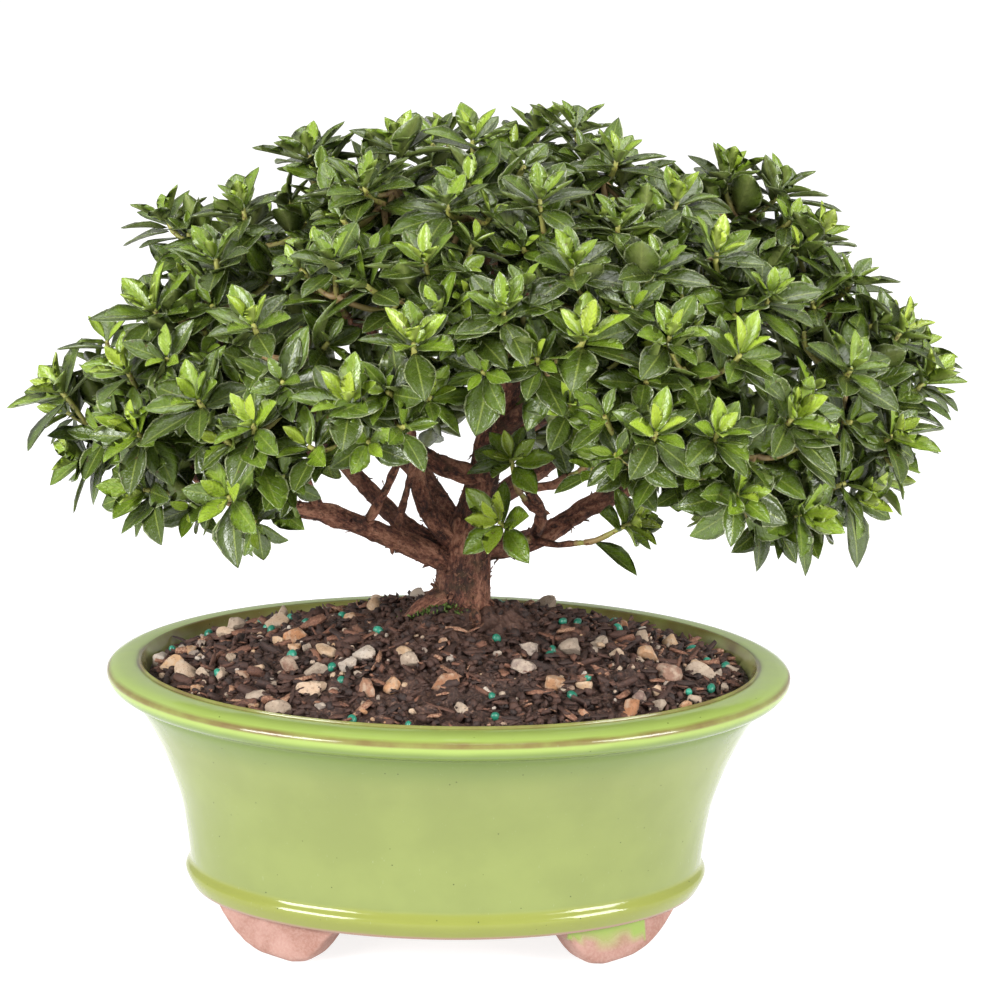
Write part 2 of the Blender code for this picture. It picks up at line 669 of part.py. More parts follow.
def grow_branches(layout):
    """Join every spray to the nearest wood, closest sprays first; later branches may leave earlier ones.

    Returns the branches as limbs, and for each spray the end of its branch and the way it points.
    """
    nodes = limb_nodes()
    forks = []
    for row in layout:
        middle = np.mean([place for place, _ in row], axis=0)
        axis = np.mean([axis for _, axis in row], axis=0)
        forks.append(middle - axis * (FORK_DEPTH if len(row) > 1 else STALK_LENGTH))
    branches, seats = [], {}
    waiting = set(range(len(layout)))
    while waiting:
        best = min(((reach_cost(node, forks[i]), i, j) for i in waiting for j, node in enumerate(nodes)))
        _, chosen, source = best
        place, direction, radius = nodes[source]
        way = forks[chosen] - place
        length = np.linalg.norm(way)
        arrive = way / length + ARRIVAL_LEAN * np.mean([axis for _, axis in layout[chosen]], axis=0)
        arrive /= np.linalg.norm(arrive)
        tip = forks[chosen] - NECK * arrive
        bend = tip - arrive * BEND_SHARE * np.linalg.norm(tip - place)
        thick = min(TWIG_RADIUS + TWIG_GAIN * length, OFFSHOOT_SHARE * radius)
        branches.append(Limb([tuple(place), tuple(bend), tuple(tip)], max(thick, TIP_RADIUS), TIP_RADIUS, 4))
        seats[chosen] = (tip, arrive, forks[chosen])
        waiting.remove(chosen)
        first_way = (bend - place) / np.linalg.norm(bend - place)
        for share in BRANCHING_SHARES:
            nodes.append((place + share * (bend - place), first_way, thick))
        nodes.append(((bend + tip) / 2, arrive, TIP_RADIUS))
    return branches, seats


def make_wood(branches, collection, cutters):
    """Roots, trunk, limbs and branches as one woody body."""
    wood = tube("trunk_and_branches", TRUNK.points, limb_radii(TRUNK), TRUNK.sides, collection)
    limbs = ROOTS + list(LIMBS.values()) + branches
    bars = [tube("limb", limb.points, limb_radii(limb), limb.sides, cutters) for limb in limbs]
    boolean(wood, "UNION", bars)
    drop_scraps(wood)
    wood.data.materials.append(principled("bark", (0.105, 0.048, 0.030), 0.85))
    return wood


def whorl(place, axis, spin, size, random):
    """Points and triangles of a rosette: leaves cut from one thin arched blade, deeper at its hub.

    Each leaf climbs from the hub and droops to its tip: its height is a share of its length times
    (t tan(rise) - droop t^2), where t runs along it, with its edges raised a little above its rib.
    """
    axis = Vector(axis)
    turn = Vector((0, 0, 1)).rotation_difference(axis).to_matrix()
    points = [Vector((0, 0, HUB_HEIGHT)), Vector((0, 0, -HUB_DEPTH))]
    faces = []
    leaves = []
    for leaf in range(LEAVES):
        azimuth = spin + 2 * math.pi * (leaf + random.uniform(-LEAF_TURN_SHIFT, LEAF_TURN_SHIFT)) / LEAVES
        length = size * LEAF_LENGTH * random.uniform(*LEAF_SCALE)
        rise = math.tan(math.radians(random.uniform(*LEAF_RISE)))
        leaves.append((azimuth, length, rise, random.uniform(*LEAF_DROOP)))
    for leaf, (azimuth, _, _, _) in enumerate(leaves):
        after = leaves[(leaf + 1) % LEAVES][0] + (2 * math.pi if leaf == LEAVES - 1 else 0)
        between = (azimuth + after) / 2
        notch = (NOTCH_RADIUS * math.cos(between), NOTCH_RADIUS * math.sin(between), NOTCH_HEIGHT)
        points.append(Vector(notch))
    for leaf, (azimuth, length, rise, droop) in enumerate(leaves):
        along = Vector((math.cos(azimuth), math.sin(azimuth), 0))
        across = Vector((-along.y, along.x, 0))
        first = len(points)
        for t, side in LEAF_OUTLINE:
            height = length * (LEAF_ARCH * (t * rise - droop * t * t) + LEAF_CUP * abs(side) * t)
            aside = across * side * LEAF_HALF_WIDTH * length
            points.append(along * length * t - aside + Vector((0, 0, height)))
        arch = LEAF_ARCH * (RIB_SHARE * rise - droop * RIB_SHARE**2)
        rib = length * (RIB_SHARE * along + Vector((0, 0, arch)))
        points.append(rib)
        points.append(rib - Vector((0, 0, LEAF_THICKNESS)))
        before = 2 + (leaf - 1) % LEAVES
        edge = [before] + list(range(first, first + 5)) + [2 + leaf]
        upper, lower = first + 5, first + 6
        for start, end in zip([0] + edge, edge + [0]):
            faces.append((upper, start, end))
            faces.append((lower, end if end else 1, start if start else 1))
    return [np.array(place + np.array(turn @ point)) for point in points], faces


def tree_of(points, faces):
    """A search tree over triangles in millimetres."""
    return BVHTree.FromPolygons([tuple(point) for point in points], faces)


def object_tree(thing):
    """A search tree over an object's triangles, in millimetres."""
    thing.data.calc_loop_triangles()
    points = [tuple(corner.co / MM) for corner in thing.data.vertices]
    return tree_of(points, [tuple(triangle.vertices) for triangle in thing.data.loop_triangles])


def fattened(points, faces, amount):
    """The points moved outwards by the amount, along the mean of the faces round each."""
    points = np.array(points)
    faces = np.array(faces)
    corners = points[faces]
    normals = np.cross(corners[:, 1] - corners[:, 0], corners[:, 2] - corners[:, 0])
    summed = np.zeros_like(points)
    for column in range(3):
        np.add.at(summed, faces[:, column], normals)
    return points + amount * summed / np.maximum(np.linalg.norm(summed, axis=1), 1e-9)[:, None]


def is_clear(points, faces, trees):
    """Whether a shape keeps its distance from all that is in place."""
    near = tree_of(fattened(points, faces, GAP), faces)
    return not any(near.overlap(tree) for tree in trees)


def stalk_points(start, end, radius):
    """A thin square bar's points and triangles, to test a stalk's way with."""
    way = Vector(end - start).normalized()
    side = way.orthogonal().normalized() * radius
    other = way.cross(side)
    corners = [Vector(point) + offset for point in (start, end) for offset in (side, other, -side, -other)]
    faces = [(0, 1, 5), (0, 5, 4), (1, 2, 6), (1, 6, 5), (2, 3, 7), (2, 7, 6), (3, 0, 4), (3, 4, 7)]
    return [np.array(corner) for corner in corners], faces


def make_spray(name, row, seat, trees, leaf_green, collection, cutters, random):
    """A leafy spray: a stub that carries on its branch, and a stalk to each rosette."""
    tip, arrive, fork = seat
    root = tip + GAP * arrive
    pieces, own = [], []
    for place, axis in row:
        for attempt in range(MOST_TRIES):
            shift = SHIFT_STEP * attempt
            moved = place + shift * np.array([random.uniform(-1, 1) for _ in range(3)])
            moved += OUTWARD_SHIFT * shift * axis
            leaned = axis + LEAN_STEP * attempt * np.array([random.uniform(-1, 1) for _ in range(3)])
            leaned /= np.linalg.norm(leaned)
            spin, size = random.uniform(0, 2 * math.pi), 1 - SHRINK_STEP * attempt
            points, faces = whorl(moved, leaned, spin, size, random)
            bar = stalk_points(fork, moved, TIP_RADIUS)
            if is_clear(points, faces, trees + own) and is_clear(*bar, trees):
                own.append(tree_of(points, faces))
                pieces.append((moved, points, faces))
                break
        else:
            print(f"{name}: a rosette near {np.round(place)} finds no room")
    if not pieces:
        return None
    shapes = []
    for order, (moved, points, faces) in enumerate(pieces):
        shapes.append(mesh_object("rosette", points, faces, cutters))
        way = [root, fork, moved] if order == 0 else [fork, moved]
        radii = [TIP_RADIUS, TIP_RADIUS, STALK_RADIUS] if order == 0 else [0.9 * TIP_RADIUS, STALK_RADIUS]
        shapes.append(tube("stalk", way, radii, 4, cutters))
    spray = shapes.pop()
    spray.name = name
    spray.data.name = name
    cutters.objects.unlink(spray)
    collection.objects.link(spray)
    boolean(spray, "UNION", shapes)
    drop_scraps(spray)
    spray.data.materials.append(leaf_green)
    return spray


def box_of(things):
    """The lowest and highest corners of all the things, in metres."""
    corners = np.array([thing.matrix_world @ corner.co for thing in things for corner in thing.data.vertices])
    return corners.min(axis=0), corners.max(axis=0)


def main():
    """Build the bonsai."""
    clear_scene()
    collection = new_collection("satsuki_azalea_bonsai")
    cutters = new_collection("cutters")
    plastic = principled("black_plastic", (0.02, 0.02, 0.02), 0.6)
    things = [
        make_pot(collection, cutters),
        make_screen("drain_screen_left", -1, plastic, collection),
        make_screen("drain_screen_right", 1, plastic, collection),
        make_soil(collection, cutters, Random(SOIL_SEED)),
    ]
    layout = canopy_layout(Random(CANOPY_SEED))
    branches, seats = grow_branches(layout)
    wood = make_wood(branches, collection, cutters)
    things.append(wood)
    trees = [object_tree(wood)]
    leaf_green = principled("leaf_green", (0.10, 0.22, 0.03), 0.4)
    random = Random(LEAF_SEED)
    for index, row in enumerate(layout):
        name = f"spray_{index + 1:02d}"
        spray = make_spray(name, row, seats[index], trees, leaf_green, collection, cutters, random)
        if spray:
            trees.append(object_tree(spray))
            things.append(spray)
    bpy.context.view_layer.update()
    lowest, highest = box_of(things)
    stand = bpy.data.objects.new("stand_point", None)
    collection.objects.link(stand)
    stand.location = (-(lowest[0] + highest[0]) / 2, -(lowest[1] + highest[1]) / 2, -lowest[2])
    for thing in things:
        thing.parent = stand
    bpy.data.collections.remove(cutters)
    print("box in mm:", np.round((highest - lowest) / MM, 1))
    print("pot centre:", np.round(np.array(stand.location) / MM, 3))
    print("nodes:", len(things), "rosettes:", sum(len(row) for row in layout))


if __name__ == "__main__":
    main()
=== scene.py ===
"""The looks of a kazan satsuki azalea bonsai in its glazed oval pot.

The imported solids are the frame. Each is dressed, or replaced by a finer piece that keeps its form.
Lengths here are in millimetres from the pot's centre on the table, X to the right in the front view,
Y away from the viewer and Z up. MM and the pot's own place in the frame turn them into the frame's
metres where a mesh is made.
"""

from __future__ import annotations

import itertools
import logging
import math
from dataclasses import dataclass, field
from enum import Enum
from random import Random

import bpy
import numpy as np
from mathutils import Matrix, Vector

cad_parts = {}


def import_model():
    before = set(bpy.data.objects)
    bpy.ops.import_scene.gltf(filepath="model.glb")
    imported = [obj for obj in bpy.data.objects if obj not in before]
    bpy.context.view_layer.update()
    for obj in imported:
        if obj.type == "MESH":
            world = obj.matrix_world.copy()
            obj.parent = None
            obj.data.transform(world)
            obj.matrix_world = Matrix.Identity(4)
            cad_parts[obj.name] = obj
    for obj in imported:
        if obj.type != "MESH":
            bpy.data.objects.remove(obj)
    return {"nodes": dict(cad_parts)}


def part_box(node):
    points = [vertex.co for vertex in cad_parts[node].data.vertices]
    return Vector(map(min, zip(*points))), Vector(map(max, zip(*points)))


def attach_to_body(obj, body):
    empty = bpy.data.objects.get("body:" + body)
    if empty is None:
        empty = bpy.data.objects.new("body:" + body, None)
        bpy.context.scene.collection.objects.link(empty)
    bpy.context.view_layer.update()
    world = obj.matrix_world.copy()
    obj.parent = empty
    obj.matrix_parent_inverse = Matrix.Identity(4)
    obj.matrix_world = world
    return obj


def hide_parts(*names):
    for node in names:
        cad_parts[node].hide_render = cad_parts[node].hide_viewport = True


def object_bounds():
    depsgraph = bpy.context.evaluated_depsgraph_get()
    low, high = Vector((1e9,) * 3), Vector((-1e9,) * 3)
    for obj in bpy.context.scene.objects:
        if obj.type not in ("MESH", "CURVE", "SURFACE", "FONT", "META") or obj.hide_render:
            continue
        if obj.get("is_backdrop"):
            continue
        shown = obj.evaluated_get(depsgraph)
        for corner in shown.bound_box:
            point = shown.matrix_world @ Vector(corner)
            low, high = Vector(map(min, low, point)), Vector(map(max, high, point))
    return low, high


Array = np.ndarray
Socket = bpy.types.NodeSocket
Material = bpy.types.Material
Piece = bpy.types.Object
Colour = tuple[float, float, float]
LOG = logging.getLogger("azalea_bonsai")

MM = 0.001
SOIL_SEED = 5
CANOPY_SEED = 6
LEAF_SEED = 11
BODY = "root"
GOLDEN_ANGLE = math.pi * (3 - math.sqrt(5))


def unit(vectors: Array) -> Array:
    """Scale vectors to length one.

    Args:
        vectors: Any array whose last axis holds x, y and z.

    Returns:
        The same directions, each one long.
    """
    return vectors / np.maximum(np.linalg.norm(vectors, axis=-1, keepdims=True), 1e-9)


def smooth_path(points: Array, splits: int) -> Array:
    """Carry a rounded curve through points: a Catmull-Rom cubic on each span, whose slope at a point
    is half the step from the point before to the point after.

    Args:
        points: The points to pass through, one a row.
        splits: How many equal parameter steps each span gets.

    Returns:
        The points of the curve, one a row.
    """
    points = np.asarray(points, float)
    ends = np.vstack([2 * points[0] - points[1], points, 2 * points[-1] - points[-2]])
    t = np.linspace(0.0, 1.0, splits, endpoint=False)[None, :, None]
    a, b, c, d = (ends[i : len(ends) - 3 + i, None, :] for i in range(4))
    curve = b + 0.5 * t * ((c - a) + t * ((2 * a - 5 * b + 4 * c - d) + t * (3 * b - a - 3 * c + d)))
    return np.vstack([curve.reshape(-1, points.shape[1]), points[-1:]])


def resampled(path: Array, count: int) -> Array:
    """Points at equal lengths along a path.

    Args:
        path: The path's points, one a row; further columns, such as a radius, are carried along.
        count: How many points to return.

    Returns:
        The evenly spaced points.
    """
    steps = np.linalg.norm(np.diff(path[:, :3], axis=0), axis=1)
    travelled = np.concatenate([[0.0], np.cumsum(steps)])
    wanted = np.linspace(0.0, travelled[-1], count)
    return np.stack([np.interp(wanted, travelled, column) for column in path.T], axis=1)


def lattice_noise(points: Array, size: float, seed: int = 0) -> Array:
    """Smooth noise: random values on a cubic lattice, blended with a smooth step in each direction.

    Args:
        points: Places in millimetres, with x, y and z on the last axis.
        size: The lattice spacing in millimetres.
        seed: Chooses another set of values.

    Returns:
        A value from -1 to 1 for each place.
    """
    scaled = np.asarray(points, float) / size
    cell = np.floor(scaled).astype(np.int64)
    share = scaled - cell
    share = share * share * (3 - 2 * share)
    total = np.zeros(scaled.shape[:-1])
    for corner in itertools.product((0, 1), repeat=3):
        key = cell + np.array(corner)
        mixed = key[..., 0] * 73856093 ^ key[..., 1] * 19349663 ^ key[..., 2] * 83492791 ^ seed * 6542989
        mixed = (mixed ^ (mixed >> 13)) * 1274126177 & 0xFFFFFFFF
        value = ((mixed ^ (mixed >> 16)) & 0xFFFF) / 32767.5 - 1
        weight = np.prod(np.where(np.array(corner) == 1, share, 1 - share), axis=-1)
        total += weight * value
    return total


def grid_faces(rows: int, columns: int) -> Array:
    """Quads between neighbouring rows of a grid whose last column joins the first.

    Args:
        rows: The number of rows.
        columns: The number of points in a row.

    Returns:
        Four point numbers a face, counted along the rows.
    """
    row, column = np.meshgrid(np.arange(rows - 1), np.arange(columns), indexing="ij")
    after = (column + 1) % columns
    here, beyond = row * columns, (row + 1) * columns
    corners = [here + column, here + after, beyond + after, beyond + column]
    return np.stack([corner.ravel() for corner in corners], axis=1)


def fan_faces(centre: int, first: int, columns: int, turn: bool) -> Array:
    """Triangles from a pole to the ring of points round it.

    Args:
        centre: The pole's number.
        first: The number of the ring's first point.
        columns: The number of points in the ring.
        turn: Whether the triangles wind the other way.

    Returns:
        Three point numbers a face.
    """
    ring = first + np.arange(columns)
    after = first + (np.arange(columns) + 1) % columns
    pole = np.full(columns, centre)
    return np.stack([pole, after, ring] if turn else [pole, ring, after], axis=1)


def repeated(faces: Array, copies: int, stride: int) -> Array:
    """Faces of many like shapes whose points follow each other.

    Args:
        faces: The first shape's faces.
        copies: How many shapes there are.
        stride: The number of points in each.

    Returns:
        All the faces.
    """
    offsets = stride * np.arange(copies)
    return (faces[None] + offsets[:, None, None]).reshape(-1, faces.shape[1])


def capped_faces(rows: int, columns: int, copies: int = 1) -> list[Array]:
    """Faces of closed grids. Each grid's points are followed by two poles, its first row's and its
    last row's, from which a fan closes that row.

    Args:
        rows: The number of rows.
        columns: The number of points in a row.
        copies: How many like grids follow each other.

    Returns:
        The quads, the first fans and the last fans.
    """
    pole = rows * columns
    fans = fan_faces(pole, 0, columns, True), fan_faces(pole + 1, pole - columns, columns, False)
    return [repeated(faces, copies, pole + 2) for faces in (grid_faces(rows, columns), *fans)]


def per_point(values: Array, points: Array) -> Array:
    """A value for each of some like shapes, given to each of its points."""
    return np.repeat(values, len(points) // len(values), axis=0)


def soft_step(values: Array, low: float, high: float) -> Array:
    """A smooth step from 0 at low to 1 at high; low may be the greater."""
    share = np.clip((values - low) / (high - low), 0, 1)
    return share * share * (3 - 2 * share)


class Shell:
    """Closed surfaces gathered into one piece's mesh, with named marks on their points."""

    def __init__(self, *marks: str) -> None:
        """Start an empty shell.

        Args:
            *marks: The names of the marks that its points carry.
        """
        self.points: list[Array] = []
        self.faces: dict[int, list[Array]] = {3: [], 4: []}
        self.finish_of: dict[int, list[Array]] = {3: [], 4: []}
        self.marks: dict[str, list[Array]] = {mark: [] for mark in marks}
        self.size = 0

    def add(self, points: Array, faces: list[Array], finish: int = 0, **marks: Array | float) -> None:
        """Add closed surfaces, turned to face outwards.

        Args:
            points: Places in millimetres, x, y and z on the last axis.
            faces: Arrays of triangles and of quads, as numbers of these points.
            finish: Which of the piece's materials the faces get.
            **marks: A value for each point, or one for all, for every mark of the shell.
        """
        points = np.asarray(points, float).reshape(-1, 3)
        volume = 0.0
        for group in faces:
            corners = points[group] - points.mean(axis=0)
            for last in range(2, group.shape[1]):
                span = np.cross(corners[:, last - 1], corners[:, last])
                volume += np.einsum("ij,ij->", corners[:, 0], span)
        for group in faces:
            outward = group if volume >= 0 else group[:, ::-1]
            self.faces[group.shape[1]].append(outward + self.size)
            self.finish_of[group.shape[1]].append(np.full(len(group), finish))
        self.points.append(points)
        for mark, values in self.marks.items():
            given = np.asarray(marks.get(mark, 0.0), float)
            values.append(np.broadcast_to(given, (len(points),)) if given.ndim == 0 else given.ravel())
        self.size += len(points)

    def build(self, name: str, finishes: list[Material], place: Array) -> Piece:
        """Make the piece.

        Args:
            name: The piece's name.
            finishes: Its materials, in the order that the faces name them.
            place: Where the pot's centre lies in the frame, in metres.

        Returns:
            The new object, at the origin, with its place in its mesh.
        """
        points = np.concatenate(self.points) * MM + place
        kinds = [corners for corners in (3, 4) if self.faces[corners]]
        groups = [np.concatenate(self.faces[corners]) for corners in kinds]
        finish = np.concatenate([np.concatenate(self.finish_of[corners]) for corners in kinds])
        loops = np.concatenate([group.ravel() for group in groups])
        sizes = np.concatenate([np.full(len(group), group.shape[1]) for group in groups])
        mesh = bpy.data.meshes.new(name)
        mesh.vertices.add(len(points))
        mesh.vertices.foreach_set("co", points.astype(np.float32).ravel())
        mesh.loops.add(len(loops))
        mesh.loops.foreach_set("vertex_index", loops.astype(np.int32))
        mesh.polygons.add(len(sizes))
        mesh.polygons.foreach_set("loop_start", np.concatenate([[0], np.cumsum(sizes)[:-1]]).astype(np.int32))
        mesh.polygons.foreach_set("material_index", finish.astype(np.int32))
        mesh.update(calc_edges=True)
        mesh.shade_smooth()
        for mark, values in self.marks.items():
            layer = mesh.attributes.new(mark, "FLOAT", "POINT")
            layer.data.foreach_set("value", np.concatenate(values).astype(np.float32))
        for material in finishes:
            mesh.materials.append(material)
        piece = bpy.data.objects.new(name, mesh)
        bpy.context.scene.collection.objects.link(piece)
        return piece


def tubes(paths: Array, radii: Array, sides: int,
          swell: Array | None = None) -> tuple[Array, list[Array], Array]:
    """Round bars along paths: each ring's points lie at the radius from the path, level with it, in
    two directions square to the path.

    Args:
        paths: Path points of each bar, as bars by rows by three.
        radii: The radius at each path point, as bars by rows.
        sides: The number of points round each ring.
        swell: A share of the radius to add at each point, as bars by rows by sides.

    Returns:
        The points, the faces, and each point's share of the way along its bar.
    """
    bars, rows = radii.shape
    along = unit(np.gradient(paths, axis=1))
    mean = unit(paths[:, -1] - paths[:, 0] + 1e-6)
    flattest = np.eye(3)[np.argmin(np.abs(mean), axis=1)]
    first = unit(np.cross(along, flattest[:, None, :]))
    second = np.cross(along, first)
    angle = np.linspace(0, 2 * math.pi, sides, endpoint=False)
    ring = first[:, :, None] * np.cos(angle)[:, None] + second[:, :, None] * np.sin(angle)[:, None]
    reach = radii[..., None] * (1.0 if swell is None else 1 + swell)
    points = paths[:, :, None] + ring * reach[..., None]
    points = np.concatenate([points.reshape(bars, -1, 3), paths[:, :1], paths[:, -1:]], axis=1)
    share = np.repeat(np.linspace(0, 1, rows), sides)
    share = np.tile(np.concatenate([share, [0.0, 1.0]]), bars)
    return points.reshape(-1, 3), capped_faces(rows, sides, bars), share


class Recipe:
    """A node material under construction, with short calls for the nodes that this object needs."""

    def __init__(self, name: str) -> None:
        """Start a material with its Principled shader.

        Args:
            name: The material's name.
        """
        self.material = bpy.data.materials.new(name)
        self.material.use_nodes = True
        self.tree = self.material.node_tree
        self.shader = self.tree.nodes["Principled BSDF"]
        self.place = self.node("ShaderNodeTexCoord").outputs["Object"]

    def node(self, kind: str, inputs: dict | None = None, **settings: object) -> bpy.types.Node:
        """Add a node.

        Args:
            kind: The node's type name.
            inputs: Values or sockets for its inputs, by name or number.
            **settings: Properties of the node.

        Returns:
            The node.
        """
        node = self.tree.nodes.new(kind)
        for key, value in settings.items():
            setattr(node, key, value)
        for key, value in (inputs or {}).items():
            self.feed(node.inputs[key], value)
        return node

    def feed(self, socket: Socket, value: object) -> None:
        """Link a socket to another socket, or set its value.

        Args:
            socket: The socket.
            value: The other socket, or the value.
        """
        if isinstance(value, Socket):
            self.tree.links.new(value, socket)
        else:
            socket.default_value = value

    def mark(self, name: str) -> Socket:
        """The value of a mark on the surface."""
        return self.node("ShaderNodeAttribute", attribute_name=name).outputs["Fac"]

    def stretched(self, x: float, y: float, z: float) -> Socket:
        """Object coordinates scaled by direction."""
        return self.node("ShaderNodeMapping", {"Vector": self.place, "Scale": (x, y, z)}).outputs[0]

    def noise(self, size: float, detail: float = 3.0, rough: float = 0.55,
              vector: Socket | None = None) -> Socket:
        """Noise whose swells are about size millimetres across."""
        inputs = {"Vector": vector or self.place, "Scale": 1 / (size * MM)}
        return self.node("ShaderNodeTexNoise", inputs | {"Detail": detail, "Roughness": rough}).outputs[0]

    def cells(self, size: float) -> tuple[Socket, Socket]:
        """The distance from the middle, and a value of its own, of cells about size millimetres across."""
        outputs = self.node("ShaderNodeTexVoronoi", {"Vector": self.place, "Scale": 1 / (size * MM)}).outputs
        return outputs["Distance"], outputs["Color"]

    def height(self) -> Socket:
        """The height above the table, in metres."""
        return self.node("ShaderNodeSeparateXYZ", {0: self.place}).outputs[2]

    def maths(self, operation: str, first: object, second: object = 0.0, third: object = 0.0) -> Socket:
        """A sum, product or other operation on values."""
        return self.node("ShaderNodeMath", {0: first, 1: second, 2: third}, operation=operation).outputs[0]

    def times(self, first: object, second: object) -> Socket:
        """The product of two values."""
        return self.maths("MULTIPLY", first, second)

    def plus(self, first: object, second: object) -> Socket:
        """The sum of two values."""
        return self.maths("ADD", first, second)

    def span(self, value: object, low: float, high: float, start: float = 0.0, end: float = 1.0) -> Socket:
        """Map a value smoothly from low and high to start and end, held there beyond them."""
        inputs = {0: value, 1: low, 2: high, 3: start, 4: end}
        return self.node("ShaderNodeMapRange", inputs, interpolation_type="SMOOTHSTEP").outputs[0]

    def ramp(self, value: object, *stops: tuple[float, Colour]) -> Socket:
        """A colour that runs through stops.

        Args:
            value: What picks the colour.
            *stops: Each stop's place and colour.

        Returns:
            The colour.
        """
        node = self.node("ShaderNodeValToRGB", {0: value})
        scale = node.color_ramp.elements
        while len(scale) < len(stops):
            scale.new(0.5)
        for element, (position, colour) in zip(scale, stops):
            element.position = position
            element.color = (*colour, 1.0)
        return node.outputs[0]

    def mix(self, share: object, first: object, second: object) -> Socket:
        """Mix two colours.

        Args:
            share: The second colour's share.
            first: The first colour.
            second: The second colour.

        Returns:
            The mixed colour.
        """
        inputs = {0: share}
        for key, colour in ((6, first), (7, second)):
            inputs[key] = colour if isinstance(colour, Socket) else (*colour, 1.0)
        return self.node("ShaderNodeMix", inputs, data_type="RGBA").outputs[2]

    def bump(self, height: Socket, depth: float, normal: Socket | None = None) -> Socket:
        """A surface normal from a height.

        Args:
            height: The height, from 0 to 1.
            depth: What its full span stands for, in millimetres.
            normal: A normal to add it to.

        Returns:
            The normal.
        """
        inputs = {"Height": height, "Distance": depth * MM}
        if normal is not None:
            inputs["Normal"] = normal
        return self.node("ShaderNodeBump", inputs).outputs[0]

    def finish(self, **sockets: object) -> Material:
        """Feed the shader.

        Args:
            **sockets: What each socket gets, by its name with underscores for spaces.

        Returns:
            The material.
        """
        for name, value in sockets.items():
            words = name.replace("_", " ")
            if isinstance(value, tuple) and len(value) == 3:
                value = (*value, 1.0)
            self.feed(self.shader.inputs[words], value)
        return self.material


@dataclass(frozen=True)
class Limb:
    """A woody limb: its points from the thick end out, and its radius at both ends."""

    points: tuple
    thick: float
    thin: float

    def radii(self) -> Array:
        """The radius at each point, falling evenly along the limb.

        Returns:
            The radii.
        """
        steps = np.linalg.norm(np.diff(np.array(self.points, float), axis=0), axis=1)
        share = np.concatenate([[0.0], np.cumsum(steps)]) / steps.sum()
        return self.thick + (self.thin - self.thick) * share

    def path(self, spacing: float) -> Array:
        """A rounded path.

        Args:
            spacing: About how far apart its points are.

        Returns:
            The points, with the radius in a fourth column.
        """
        coarse = np.column_stack([np.array(self.points, float), self.radii()])
        fine = smooth_path(coarse, 8)
        length = np.linalg.norm(np.diff(fine[:, :3], axis=0), axis=1).sum()
        return resampled(fine, max(int(length / spacing), 5))


TRUNK = Limb(((3, 8, 84), (3, 8, 96), (3.5, 8, 101), (4, 8, 107), (4.5, 9, 114), (6, 11, 121)), 10.4, 6.4)
ROOTS = (
    Limb(((3, 8, 100), (-7, 3, 95.5), (-18, 1, 87)), 5.6, 2.0),
    Limb(((3, 8, 98), (-3, 17, 93.5), (-8, 25, 86)), 5.0, 2.0),
    Limb(((3, 8, 98), (12, 5, 93.5), (21, 3, 87)), 5.0, 2.0),
    Limb(((3, 8, 97), (6, -3, 93.5), (5, -12, 87)), 4.6, 1.8),
)
LIMBS = {
    "low_left": Limb(((2, 8, 108), (-12, 0, 116), (-36, -12, 128), (-62, -14, 133), (-78, -10, 141),
                      (-97, -4, 151)), 3.6, 1.3),
    "left_riser": Limb(((-38, -12, 128), (-46, -17, 144), (-60, -20, 162)), 1.7, 1.2),
    "middle_riser": Limb(((-26, -7, 123), (-19, -12, 138), (-14, -14, 150)), 1.2, 1.0),
    "near_riser": Limb(((-17, -2, 118), (-14, -7, 133), (-11, -11, 146)), 1.1, 1.0),
    "second_left": Limb(((2, 9, 112), (-14, 14, 119), (-30, 24, 133), (-54, 30, 159), (-75, 30, 177)),
                        3.0, 1.2),
    "third": Limb(((2, 8, 113), (-8, 2, 128), (-13, -8, 150), (-17, -16, 166), (-25, -28, 188)), 3.1, 1.3),
    "leader": Limb(((5, 10, 118), (9, 13, 132), (12, 14, 148), (17, 12, 164), (19, 8, 182), (21, 2, 202)),
                   5.6, 1.7),
    "leader_left": Limb(((9, 12, 134), (-5, 7, 140), (-15, 5, 150), (-22, 5, 172), (-32, 4, 200)), 2.9, 1.3),
    "right_low": Limb(((4, 10, 112), (25, 18, 114), (44, 20, 125), (74, 14, 140), (97, 8, 148)), 3.8, 1.3),
    "right_high": Limb(((11, 14, 144), (32, 16, 156), (58, 14, 172), (84, 10, 186)), 3.4, 1.4),
    "front_twig": Limb(((22, 15, 115), (25, 6, 119), (26, -4, 128), (21, -12, 137)), 2.0, 1.4),
    "front_right": Limb(((13, 14, 147), (24, 4, 158), (40, -12, 167), (60, -30, 176)), 3.0, 1.3),
    "back_left": Limb(((3, 10, 116), (-8, 28, 130), (-28, 46, 144), (-50, 60, 156)), 3.6, 1.3),
    "back_middle": Limb(((8, 13, 132), (12, 32, 146), (14, 54, 162), (12, 72, 174)), 3.4, 1.3),
    "back_right": Limb(((5, 11, 122), (28, 30, 134), (54, 46, 148), (80, 54, 158)), 3.4, 1.3),
}
